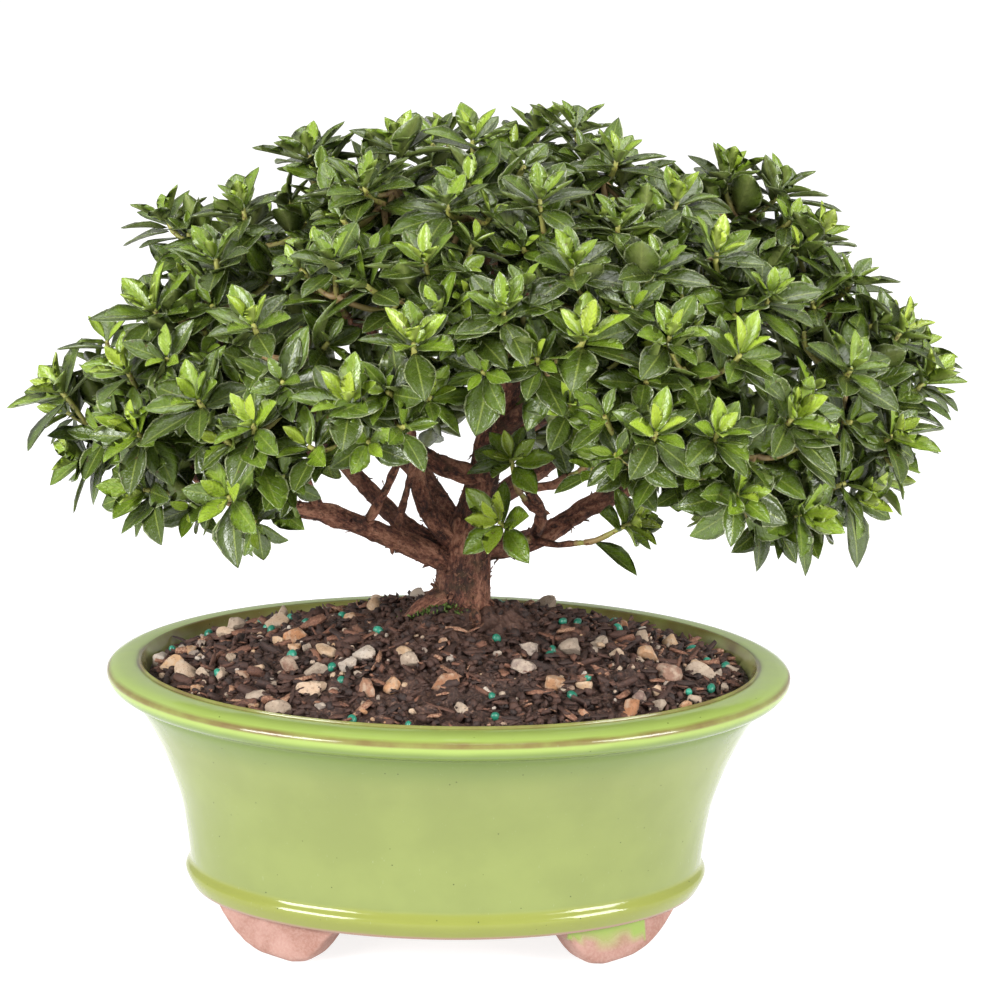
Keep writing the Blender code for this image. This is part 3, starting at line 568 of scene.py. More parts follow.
# Leaf rosettes of the front half, one row a spray, as X and Z where each seems to lie from the front.
FRONT_SPRAYS = (
    ((-115, 160), (-109, 141)),
    ((-96, 167), (-93, 148)),
    ((-88, 185), (-70, 200)),
    ((-84, 211), (-62, 215)),
    ((-59, 181),),
    ((-43, 231),),
    ((-27, 222), (-17, 234)),
    ((4, 236), (-3, 217)),
    ((-36, 200),),
    ((-9, 200),),
    ((-12, 176), (-31, 158)),
    ((-59, 151), (-75, 158)),
    ((-91, 131), (-66, 129)),
    ((34, 240), (46, 231)),
    ((24, 219),),
    ((64, 219), (47, 212)),
    ((94, 223), (78, 226)),
    ((106, 209), (116, 196)),
    ((34, 199), (58, 199)),
    ((92, 191), (76, 204)),
    ((38, 178), (14, 186)),
    ((84, 174), (63, 179)),
    ((100, 155), (78, 150)),
    ((117, 170), (131, 181)),
    ((139, 167), (130, 150)),
    ((104, 126), (85, 132)),
    ((120, 131),),
    ((60, 150),),
)
# Rosettes low on the twig in front of the trunk, as their place and the way they look.
INNER_SPRAYS = (
    (((13, -22, 129), (-0.45, -0.65, 0.45)),),
    (((41, -27, 157), (0.3, -0.45, 0.8)),),
    (((51, -22, 129), (0.75, -0.4, 0.45)),),
    (((16, -24, 148), (-0.2, -0.6, 0.75)),),
)
# Rows round the back: height, number of sprays, and how far the left half reaches as a share of the right.
BACK_ROWS = ((141.0, 6, 0.95), (172.0, 5, 0.76), (204.0, 5, 0.82), (230.0, 3, 0.9))


@dataclass(frozen=True)
class Dome:
    """The canopy's overall form: a low dome, wider than the pot, that draws in below its shoulder."""

    centre: tuple = (12.0, 3.0)
    half_length: float = 129.0
    half_depth: float = 95.0
    shoulder: float = 160.0
    top: float = 241.0
    power: float = 1.75
    eye: tuple = (-28.0, -1057.0, 382.0)
    reading_plane: float = 5.0
    gap_centre: tuple = (3.0, 122.0)
    gap_half: tuple = (49.0, 25.0)

    def reach(self, height: Array) -> Array:
        """The half-width at a height: above the shoulder (1 - h^p)^(1/p), below it 1 - 0.28 d^1.2.

        Args:
            height: The heights.

        Returns:
            The half-widths, as shares of the widest.
        """
        above = np.clip((height - self.shoulder) / (self.top - self.shoulder), 0.0, 1.0)
        below = np.clip((self.shoulder - height) / 50.0, 0.0, 1.5)
        dome = (1 - above**self.power) ** (1 / self.power)
        return np.where(height > self.shoulder, dome, 1 - 0.28 * below**1.2)

    def level(self, point: Array) -> Array:
        """How far out places are: their distance from the centre line, in half-lengths and half-depths,
        less the reach at their height.

        Args:
            point: The places.

        Returns:
            Below zero inside the dome, zero on it, above zero outside.
        """
        x, y, z = np.moveaxis(np.asarray(point, float), -1, 0)
        span = np.hypot((x - self.centre[0]) / self.half_length, (y - self.centre[1]) / self.half_depth)
        return span - self.reach(z) + np.maximum(z - self.top, 0.0) / self.top

    def normal(self, point: Array) -> Array:
        """The outward direction at a point on the dome."""
        steps = 1.5 * np.eye(3)
        return unit(np.array([self.level(point + step) - self.level(point - step) for step in steps]))

    def from_front(self, x: float, z: float) -> Array:
        """Where the front viewer's sight line first meets the dome.

        Args:
            x: Where the line crosses the reading plane.
            z: The height at which it does.

        Returns:
            The place.
        """
        eye = np.array(self.eye)
        sight = np.array([x, self.reading_plane, z]) - eye
        depths = np.linspace(-115.0, 45.0, 321)
        line = eye + ((depths - eye[1]) / sight[1])[:, None] * sight
        level = self.level(line)
        inside = np.flatnonzero(level <= 0)
        return line[inside[0] if len(inside) else int(np.argmin(level))]

    def hides_limbs(self, points: Array) -> Array:
        """Whether places, seen from the front, lie in the gap below the canopy where the limbs show.

        Args:
            points: The places.

        Returns:
            True for each that does.
        """
        eye = np.array(self.eye)
        way = np.asarray(points, float) - eye
        seen = eye + way * ((self.reading_plane - eye[1]) / way[..., 1:2])
        across = (seen[..., 0] - self.gap_centre[0]) / self.gap_half[0]
        upwards = (seen[..., 2] - self.gap_centre[1]) / self.gap_half[1]
        return np.hypot(across, upwards) < 1


@dataclass
class Spray:
    """A leafy spray: where its branch ends, the way it points, its fork and its rosettes."""

    tip: Array
    arrive: Array
    fork: Array
    rosettes: list[tuple[Array, Array]]
    branch: Limb


@dataclass
class Canopy:
    """The skeleton that carries the leaves, laid out as in the solids."""

    dome: Dome = field(default_factory=Dome)
    back_span: tuple = (-8.0, 188.0)
    back_half_spread: float = 15.0
    # The most that a back spray shifts round, in radians, and that its rosettes shift up or down.
    back_shift: float = 0.09
    back_lift: float = 7.0
    spacing: float = 19.0
    fork_depth: float = 15.0
    stalk_length: float = 16.0
    neck: float = 4.0
    limb_step: float = 7.0
    twig_radius: float = 1.5
    tip_radius: float = 0.9
    # How much a branch thickens with its length, and its most as a share of the wood that it leaves.
    thickening: float = 0.006
    most_thick: float = 0.92
    # The shares of a branch at which later ones may leave it, and what a branch under a length costs.
    branch_forks: tuple = (0.3, 0.7, 1.0)
    short_branch: float = 9.0
    short_cost: float = 30.0

    def rosette_axis(self, place: Array) -> Array:
        """A rosette looks outwards from the dome and up."""
        return unit(0.8 * self.dome.normal(place) + np.array([0.0, 0.0, 0.6]))

    def layout(self, random: Random) -> list[list[tuple[Array, Array]]]:
        """Place the rosettes of every spray: the front as seen, then rows round the back.

        Args:
            random: The seeded source of the small shifts.

        Returns:
            A row of (place, axis) for each spray.
        """
        sprays = [[self.dome.from_front(x, z) for x, z in row] for row in FRONT_SPRAYS]
        taken = [place for row in sprays for place in row]
        for height, count, left_share in BACK_ROWS:
            reach = float(self.dome.reach(np.array(height)))
            first, last = (math.radians(angle) for angle in self.back_span)
            for step in range(count):
                turn = first + (last - first) * (step + 0.5) / count
                turn += random.uniform(-self.back_shift, self.back_shift)
                row = []
                for side in (-1, 1):
                    lean = turn + side * self.back_half_spread / (reach * self.dome.half_length * 0.8)
                    level = height + side * random.uniform(-self.back_lift, self.back_lift)
                    size = float(self.dome.reach(np.array(level)))
                    width = size * self.dome.half_length * (left_share if math.cos(lean) < 0 else 1.0)
                    x = self.dome.centre[0] + width * math.cos(lean)
                    y = self.dome.centre[1] + size * self.dome.half_depth * math.sin(lean)
                    place = np.array([x, y, level])
                    if all(np.linalg.norm(place - other) > self.spacing for other in taken):
                        row.append(place)
                        taken.append(place)
                if row:
                    sprays.append(row)
        layout = [[(place, self.rosette_axis(place)) for place in row] for row in sprays]
        inner = [[(np.array(place, float), unit(np.array(axis))) for place, axis in row]
                 for row in INNER_SPRAYS]
        return layout + inner

    def limb_nodes(self) -> list[tuple[Array, Array, float]]:
        """Points along the limbs where a branch may leave.

        Returns:
            Each point, with the limb's direction and radius there.
        """
        nodes = []
        for limb in LIMBS.values():
            radii = limb.radii()
            for order, (start, end) in enumerate(zip(limb.points, limb.points[1:])):
                start, end = np.array(start, float), np.array(end, float)
                length = float(np.linalg.norm(end - start))
                count = max(int(length / self.limb_step), 1)
                for step in range(count // 2 if order == 0 else 0, count + 1):
                    share = step / count
                    radius = radii[order] + share * (radii[order + 1] - radii[order])
                    nodes.append((start + share * (end - start), (end - start) / length, radius))
        return nodes

    def reach_cost(self, node: tuple, target: Array) -> float:
        """How hard a branch is to grow: its length, more where it turns back or down.

        Args:
            node: The place, direction and radius that it leaves from.
            target: Where it has to reach.

        Returns:
            The cost.
        """
        place, direction, _ = node
        way = target - place
        length = float(np.linalg.norm(way))
        turn = float(way @ direction) / max(length, 1e-6)
        cost = length * (1.35 - 0.35 * turn) + max(0.0, place[2] - target[2]) * 0.8
        return cost + (self.short_cost if length < self.short_branch else 0.0)

    def grow(self, random: Random) -> list[Spray]:
        """Join every spray to the nearest wood, closest sprays first; later branches may leave earlier
        ones.

        Args:
            random: The seeded source of the small shifts.

        Returns:
            The sprays, in the order of the solids.
        """
        layout = self.layout(random)
        nodes = self.limb_nodes()
        forks = []
        for row in layout:
            middle = np.mean([place for place, _ in row], axis=0)
            axis = np.mean([axis for _, axis in row], axis=0)
            forks.append(middle - axis * (self.fork_depth if len(row) > 1 else self.stalk_length))
        sprays: dict[int, Spray] = {}
        waiting = set(range(len(layout)))
        while waiting:
            costs = ((self.reach_cost(node, forks[i]), i, j) for i in waiting for j, node in enumerate(nodes))
            _, chosen, source = min(costs)
            place, _, radius = nodes[source]
            way = forks[chosen] - place
            length = float(np.linalg.norm(way))
            arrive = unit(way / length + 0.35 * np.mean([axis for _, axis in layout[chosen]], axis=0))
            tip = forks[chosen] - self.neck * arrive
            bend = tip - arrive * 0.45 * np.linalg.norm(tip - place)
            thick = min(self.twig_radius + self.thickening * length, self.most_thick * radius)
            points = (tuple(place), tuple(bend), tuple(tip))
            branch = Limb(points, max(thick, self.tip_radius), self.tip_radius)
            sprays[chosen] = Spray(tip, arrive, forks[chosen], layout[chosen], branch)
            waiting.remove(chosen)
            for share in self.branch_forks:
                nodes.append((place + share * (bend - place), unit(bend - place), thick))
            nodes.append(((bend + tip) / 2, arrive, self.tip_radius))
        return [sprays[index] for index in sorted(sprays)]


@dataclass
class Blades:
    """Leaf-like blades shaped together.

    Each of several rings has points across its upper face and one or more below. Its
    half-width follows sin(pi u^1.04)^0.94, narrow at the stalk and pointed at the tip;
    its middle line droops with u squared; its edges rise with v squared and wave with u.
    """

    thickness: float = 0.36
    stations: tuple = (0.1, 0.26, 0.44, 0.62, 0.79, 0.92)
    upper: tuple = (-1.0, -0.5, 0.0, 0.5, 1.0)
    lower: tuple = (0.0,)
    rows: list[Array] = field(default_factory=list)

    def add(self, base: Array, along: Array, up: Array, **shape: Array | float) -> None:
        """Set blades down to be shaped.

        Args:
            base: Where each springs, one a row.
            along: The way each grows.
            up: The way its upper face looks.
            **shape: length, width, droop, cup, wave, age and tone, for each or for all.
        """
        names = ("length", "width", "droop", "cup", "wave", "age", "tone")
        columns = [np.broadcast_to(np.asarray(shape[name], float), (len(base),)) for name in names]
        across = unit(np.cross(up, along))
        self.rows.append(np.column_stack([base, along, across, np.cross(along, across), *columns]))

    def shaped(self) -> tuple[Array, list[Array], dict[str, Array]]:
        """Work out every blade's points.

        Returns:
            The points, the faces, and the marks along, across, age, tone and under.
        """
        rows = np.concatenate(self.rows)
        base, along, across, up = (rows[:, None, 3 * i : 3 * i + 3] for i in range(4))
        length, width, droop, cup, wave, age, tone = (rows[:, 12 + i, None] for i in range(7))
        lower = self.lower
        u = np.repeat(self.stations, len(self.upper) + len(lower))
        v = np.tile(self.upper + lower, len(self.stations))
        under = np.tile([0.0] * len(self.upper) + [1.0] * len(lower), len(self.stations))
        tips = ((u, [0, 1]), (v, [0, 0]), (under, [0, 0]))
        u, v, under = (np.concatenate(values)[None] for values in tips)
        half = np.where((u > 0) & (u < 1), np.abs(np.sin(math.pi * u**1.04)) ** 0.94, 0.0)
        side = 0.5 * width * length * half * v
        lift = 0.10 * length * u - droop * length * u * u + cup * width * length * half * v * v
        lift = lift + wave * length * np.abs(v) * half * np.sin(7.5 * u + 6.0 * tone)
        lift = lift - 0.03 * width * length * half * (np.abs(v) < 0.1)
        lift = lift - under * self.thickness * (1 - v * v)
        reach = length * u * (1 - 0.25 * droop * u)
        points = base + along * reach[..., None] + across * side[..., None] + up * lift[..., None]
        faces = capped_faces(len(self.stations), len(self.upper) + len(lower), len(rows))
        marks = {"along": u, "across": v, "under": under, "age": age, "tone": tone}
        marks = {name: np.broadcast_to(value, side.shape).ravel() for name, value in marks.items()}
        return points.reshape(-1, 3), faces, marks


class Growth(Enum):
    """How far on a shoot is."""

    FLUSHING = 1.0
    STEADY = 0.62
    RESTING = 0.25


@dataclass
class Foliage:
    """The leafy sprays: each replaces its solid with stalks, leaf rosettes and leaves on the stems."""

    canopy: Canopy
    sprays: list[Spray]
    resting_height: float = 196.0
    stalk_rows: int = 9
    stalk_sides: int = 6
    leaf_length: float = 18.8
    leaf_width: float = 0.5
    # The youngest leaves' steepness in degrees, on a growing and on a resting shoot.
    steepness: tuple = (56, 44)
    # The chances of flushing, steady and resting shoots, high on the canopy and lower down.
    high_odds: tuple = (0.2, 0.42, 0.38)
    low_odds: tuple = (0.42, 0.38, 0.2)
    # The oldest leaf's age on the shoots before the trunk, high on the canopy and lower down.
    inner_oldest: float = 0.66
    high_oldest: float = 1.12
    low_oldest: float = 1.04
    # How many leaves a rosette has, their scale, and the scale before the trunk and beside a rosette.
    leaf_counts: tuple = (10, 13)
    leaf_scales: tuple = (0.9, 1.08)
    inner_scale: float = 0.86
    shoot_leaf_counts: tuple = (7, 10)
    shoot_scales: tuple = (0.62, 0.88)
    # How many leaves stand on each kind of stem, and between which shares of it.
    branch_leaves: tuple = (8, 0.35, 0.98)
    stalk_leaves: tuple = (4, 0.15, 0.75)
    shoot_leaves: tuple = (2, 0.35, 0.75)
    # Shoots beside a rosette: the tries and the most, their spacing, reach and depth below it.
    shoot_tries: int = 16
    most_shoots: int = 4
    shoot_gap: float = 9.0
    shoot_reach: tuple = (9.0, 17.5)
    shoot_depth: tuple = (3, 20)
    shoot_growth: tuple = (0.1, 0.4, 0.8)
    shoot_odds: tuple = (0.55, 0.3, 0.15)
    stalk_radii: tuple = (0.98, 0.7)

    def rosette(self, blades: Blades, centre: Array, axis: Array, growth: float, count: int, size: float,
                oldest: float, chance: np.random.Generator) -> None:
        """Set the leaves of one shoot tip in a spiral: each turns by the golden angle from the one
        before, stands steeper and is shorter and younger.

        Args:
            blades: Where the leaves are gathered.
            centre: The shoot's tip.
            axis: The way that it looks.
            growth: How bright and open its youngest leaves are, from 0 to 1.
            count: How many leaves it has.
            size: The scale of its leaves.
            oldest: The age of its lowest leaf.
            chance: The seeded source of variation.
        """
        order = np.arange(count)
        share = order / (count - 1)
        azimuth = order * GOLDEN_ANGLE + chance.uniform(0, 2 * math.pi) + chance.uniform(-0.25, 0.25, count)
        first = unit(np.cross(axis, [0.31, 0.95, 0.02]))
        second = np.cross(axis, first)
        radial = np.cos(azimuth)[:, None] * first + np.sin(azimuth)[:, None] * second
        steep = self.steepness[0] if growth > 0.5 else self.steepness[1]
        lift = np.radians(5 + steep * share**1.1 + chance.uniform(-9, 9, count))[:, None]
        along = np.cos(lift) * radial + np.sin(lift) * axis
        up = np.cos(lift) * axis - np.sin(lift) * radial
        roll = chance.uniform(-0.3, 0.3, count)[:, None]
        up = up * np.cos(roll) + np.cross(along, up) * np.sin(roll)
        base = centre + axis * (-3.4 + 4.2 * share[:, None]) + 0.5 * radial
        length = size * self.leaf_length * (1 - 0.48 * share**1.3) * chance.uniform(0.84, 1.1, count)
        age = np.clip(oldest - share**1.5 * (0.45 + 0.6 * growth) + chance.uniform(-0.1, 0.1, count), 0, 1)
        width = self.leaf_width * (1 - 0.04 * share) * chance.uniform(0.86, 1.14, count)
        blades.add(base, along, up, length=length, width=width,
                   droop=0.20 - 0.16 * share + chance.uniform(-0.06, 0.08, count), cup=0.10 + 0.12 * share,
                   wave=0.012, age=age, tone=chance.uniform(0, 1, count))

    def stem_leaves(self, blades: Blades, path: Array, count: int, low: float, high: float,
                    chance: np.random.Generator) -> None:
        """Set grown leaves by turns along a stem.

        Args:
            blades: Where the leaves are gathered.
            path: The stem's points.
            count: How many leaves it has.
            low: Where the first springs, as a share of the stem.
            high: Where the last springs.
            chance: The seeded source of variation.
        """
        share = np.linspace(low, high, count) + chance.uniform(-0.06, 0.06, count)
        place = np.clip(share, 0, 1) * (len(path) - 1)
        index = np.minimum(place.astype(int), len(path) - 2)
        base = path[index] + (place - index)[:, None] * (path[index + 1] - path[index])
        stem = unit(path[index + 1] - path[index])
        azimuth = np.arange(count) * GOLDEN_ANGLE + chance.uniform(0, 2 * math.pi)
        first = unit(np.cross(stem, [0.12, 0.2, 0.97]))
        second = np.cross(stem, first)
        radial = np.cos(azimuth)[:, None] * first + np.sin(azimuth)[:, None] * second
        lift = np.radians(chance.uniform(5, 40, count))[:, None]
        along = unit(np.cos(lift) * radial + np.sin(lift) * stem + np.array([0, 0, 0.22]))
        facing = np.array([0, 0, 0.75]) + 0.75 * self.canopy.dome.normal(path[-1])
        up = unit(facing + 0.3 * chance.normal(size=(count, 3)))
        up = unit(up - along * np.sum(up * along, axis=1, keepdims=True))
        shape = {
            "length": self.leaf_length * chance.uniform(0.72, 1.08, count),
            "width": self.leaf_width * chance.uniform(0.9, 1.2, count),
            "droop": chance.uniform(0.1, 0.3, count),
            "cup": chance.uniform(0.02, 0.2, count),
            "age": chance.uniform(0.74, 1.0, count),
            "tone": chance.uniform(0, 1, count),
        }
        kept = ~self.canopy.dome.hides_limbs(base + 0.55 * along * shape["length"][:, None])
        shape = {name: values[kept] for name, values in shape.items()}
        blades.add(base[kept], along[kept], up[kept], wave=0.014, **shape)

    def stalk(self, start: Array, end: Array, leave: Array, enter: Array) -> Array:
        """A stalk's path: a cubic curve, (1-t)^3 a + 3t(1-t)^2 b + 3t^2(1-t) c + t^3 d.

        Args:
            start: Where it starts.
            end: Where it ends.
            leave: The way that it starts.
            enter: The way that it ends.

        Returns:
            Its points.
        """
        span = float(np.linalg.norm(end - start))
        t = np.linspace(0, 1, self.stalk_rows)[:, None]
        knots = [start, start + 0.35 * span * leave, end - 0.4 * span * enter, end]
        weights = [(1 - t) ** 3, 3 * t * (1 - t) ** 2, 3 * t * t * (1 - t), t**3]
        return sum(weight * knot for weight, knot in zip(weights, knots))

    def side_shoots(self, place: Array, taken: list[Array], chance: np.random.Generator) -> list[Array]:
        """Find room for shoots that stand beside a rosette and a little lower.

        Args:
            place: The rosette's place.
            taken: The places of all shoots so far, which the new ones join.
            chance: The seeded source of variation.

        Returns:
            The new shoots' places.
        """
        found = []
        outward = self.canopy.dome.normal(place)
        for _ in range(self.shoot_tries):
            if len(found) == self.most_shoots:
                break
            turn = unit(np.cross(outward, unit(chance.normal(size=3))))
            beside = place + turn * chance.uniform(*self.shoot_reach)
            spot = beside - outward * chance.uniform(*self.shoot_depth)
            if self.canopy.dome.hides_limbs(spot):
                continue
            if min(float(np.linalg.norm(spot - other)) for other in taken) > self.shoot_gap:
                found.append(spot)
                taken.append(spot)
        return found

    def build(self, finishes: list[Material], place: Array) -> list[Piece]:
        """Make every spray.

        Args:
            finishes: The leaf's material, then the stalk's.
            place: Where the pot's centre lies in the frame, in metres.

        Returns:
            The pieces, in the order of the solids.
        """
        chance = np.random.default_rng(LEAF_SEED)
        taken = [spot for spray in self.sprays for spot, _ in spray.rosettes]
        pieces = []
        for index, spray in enumerate(self.sprays):
            blades = Blades()
            paths = [self.stalk(spray.tip + 0.3 * spray.arrive, spray.fork, spray.arrive, spray.arrive)]
            branch = smooth_path(np.array(spray.branch.points), 6)
            self.stem_leaves(blades, branch, *self.branch_leaves, chance)
            inner = index >= len(self.sprays) - len(INNER_SPRAYS)
            for spot, axis in spray.rosettes:
                high = spot[2] > self.resting_height
                odds = self.high_odds if high else self.low_odds
                growth = float(chance.choice([kind.value for kind in Growth], p=odds))
                main = self.stalk(spray.fork, spot, spray.arrive, axis)
                paths.append(main)
                count = int(chance.integers(*self.leaf_counts))
                size = chance.uniform(*self.leaf_scales) * (self.inner_scale if inner else 1.0)
                oldest = self.high_oldest if high else self.low_oldest
                if inner:
                    oldest = self.inner_oldest
                self.rosette(blades, spot, axis, growth, count, size, oldest, chance)
                self.stem_leaves(blades, main, *self.stalk_leaves, chance)
                for beside in [] if inner else self.side_shoots(spot, taken, chance):
                    way = unit(beside - spot)
                    lean = unit(axis + 0.5 * way + 0.1 * chance.normal(size=3))
                    paths.append(self.stalk(main[self.stalk_rows // 3], beside, way, lean))
                    self.stem_leaves(blades, paths[-1], *self.shoot_leaves, chance)
                    growth = float(chance.choice(self.shoot_growth, p=self.shoot_odds))
                    count = int(chance.integers(*self.shoot_leaf_counts))
                    size = chance.uniform(*self.shoot_scales)
                    self.rosette(blades, beside, lean, growth, count, size, self.low_oldest, chance)
            stalks = np.array(paths)
            radii = np.linspace(*self.stalk_radii, self.stalk_rows) * np.ones((len(stalks), 1))
            radii = radii * (1 + 0.08 * np.sin(np.arange(self.stalk_rows) * 2.1))
            shell = Shell("along", "across", "under", "age", "tone")
            points, faces, marks = blades.shaped()
            shell.add(points, faces, **marks)
            points, faces, share = tubes(stalks, radii, self.stalk_sides)
            shell.add(points, faces, 1, along=share, tone=chance.uniform())
            pieces.append(shell.build(f"leafy_spray_{index + 1:02d}", finishes, place))
        return pieces


@dataclass
class Wood:
    """Roots, trunk, limbs and branches, in bark."""

    sprays: list[Spray]
    flakes: int = 2200
    fibre: float = 0.2
    grain: float = 0.24
    scale: float = 0.8
    lump: float = 0.05

    def unrolled(self, path: Array, sides: int) -> Array:
        """Places on a limb as if it were straight: round it in the first two columns, in millimetres,
        and along it in the third.

        Args:
            path: The limb's points, with the radius in the fourth column.
            sides: The number of points round it.

        Returns:
            The places, as rows by sides by three.
        """
        angle = np.linspace(0, 2 * math.pi, sides, endpoint=False)
        travelled = np.concatenate([[0], np.cumsum(np.linalg.norm(np.diff(path[:, :3], axis=0), axis=1))])
        radius = path[:, 3:4]
        lengthwise = np.repeat(travelled[:, None], sides, 1)
        return np.stack([radius * np.cos(angle), radius * np.sin(angle), lengthwise], axis=2)

    def bark_swell(self, places: Array, radius: Array, seed: int) -> Array:
        """Ridges that run along the wood: noise stretched four times lengthwise, with finer grain,
        raised scales and slow lumps.

        Args:
            places: Places on the unrolled limb.
            radius: The limb's radius there.
            seed: Chooses another pattern.

        Returns:
            The share of the radius to add at each place.
        """
        stretched = places * np.array([1.0, 1.0, 0.24])
        ridges = lattice_noise(stretched, 1.9, seed) + 0.7 * lattice_noise(stretched, 0.95, seed + 1)
        fine = lattice_noise(places * np.array([1.0, 1.0, 0.7]), 1.3, seed + 5)
        scales = np.maximum(lattice_noise(places * np.array([1.0, 1.0, 0.4]), 2.6, seed + 3) - 0.1, 0)
        lumps = lattice_noise(places, 8.0, seed + 2)
        rise = self.fibre * ridges + self.grain * fine + self.scale * scales
        return (rise + self.lump * radius * lumps) / radius

    def limb(self, shell: Shell, limb: Limb, sides: int, spacing: float, seed: int) -> Array:
        """Add one limb in bark.

        Args:
            shell: Where the limb is gathered.
            limb: The limb.
            sides: The number of points round it.
            spacing: About how far apart its rings are.
            seed: Chooses its bark's pattern.

        Returns:
            Its path, with the radius in the fourth column.
        """
        path = limb.path(spacing)
        places = self.unrolled(path, sides)
        radius = np.repeat(path[:, 3:4], sides, 1)
        swell = self.bark_swell(places, radius, seed)
        points, faces, _ = tubes(path[None, :, :3], path[None, :, 3], sides, swell[None])
        ends = places[[0, -1], 0]
        round_x, round_y, lengthwise = np.concatenate([places.reshape(-1, 3), ends]).T
        shell.add(points, faces, girth=np.append(radius.ravel(), radius[[0, -1], 0]),
                  round_x=round_x + 40 * seed, round_y=round_y, lengthwise=lengthwise,
                  crack=np.append(swell * radius, [0, 0]))
        return path

    def build(self, bark: Material, place: Array) -> Piece:
        """Make the wood.

        Args:
            bark: Its material.
            place: Where the pot's centre lies in the frame, in metres.

        Returns:
            The piece.
        """
        shell = Shell("girth", "round_x", "round_y", "lengthwise", "crack", "flake")
        paths = [self.limb(shell, TRUNK, 104, 0.6, 1)]
        for order, root in enumerate(ROOTS):
            self.limb(shell, root, 36, 0.9, 20 + 4 * order)
        for order, limb in enumerate(LIMBS.values()):
            sides = int(np.clip(9 * limb.thick, 14, 50))
            paths.append(self.limb(shell, limb, sides, 1.0, 40 + 4 * order))
        for order, spray in enumerate(self.sprays):
            self.limb(shell, spray.branch, 10, 1.8, 200 + 4 * order)
        self.add_flakes(shell, paths)
        return shell.build("bark_trunk_and_branches", [bark], place)

    def add_flakes(self, shell: Shell, paths: list[Array]) -> None:
        """Lift small flakes of bark from the trunk and the limbs, more where the wood is thicker.

        Args:
            shell: Where the flakes are gathered.
            paths: The limbs' points, with the radius in the fourth column.
        """
        chance = np.random.default_rng(LEAF_SEED + 1)
        count = self.flakes
        spots = np.concatenate([path[2:-2] for path in paths])
        along = np.concatenate([unit(np.gradient(path[:, :3], axis=0))[2:-2] for path in paths])
        weight = spots[:, 3] ** 1.5
        chosen = chance.choice(len(spots), count, p=weight / weight.sum())
        angle = chance.uniform(0, 2 * math.pi, count)
        stem = along[chosen]
        first = unit(np.cross(stem, [0.2, 0.9, 0.1]))
        out = np.cos(angle)[:, None] * first + np.sin(angle)[:, None] * np.cross(stem, first)
        base = spots[chosen, :3] + out * (spots[chosen, 3:] * 0.98)
        stray = 0.35 * chance.normal(size=(count, 3))
        way = unit(stem * np.where(chance.uniform(size=count) < 0.5, -1, 1)[:, None] + 0.2 * out + stray)
        blades = Blades(thickness=0.3, stations=(0.25, 0.7), upper=(-1.0, 0.0, 1.0))
        blades.add(base, way, unit(out - way * np.sum(out * way, axis=1, keepdims=True)),
                   length=0.8 + 2.1 * chance.uniform(0, 1, count) ** 2, width=chance.uniform(0.4, 0.9, count),
                   droop=chance.uniform(-0.15, 0.15, count), cup=-0.3, wave=0.02, age=0.0,
                   tone=chance.uniform(0, 1, count))
        points, faces, marks = blades.shaped()
        shell.add(points, faces, girth=6.0, lengthwise=4 * marks["along"], round_x=900 * marks["tone"],
                  flake=0.25 + 0.75 * marks["tone"])


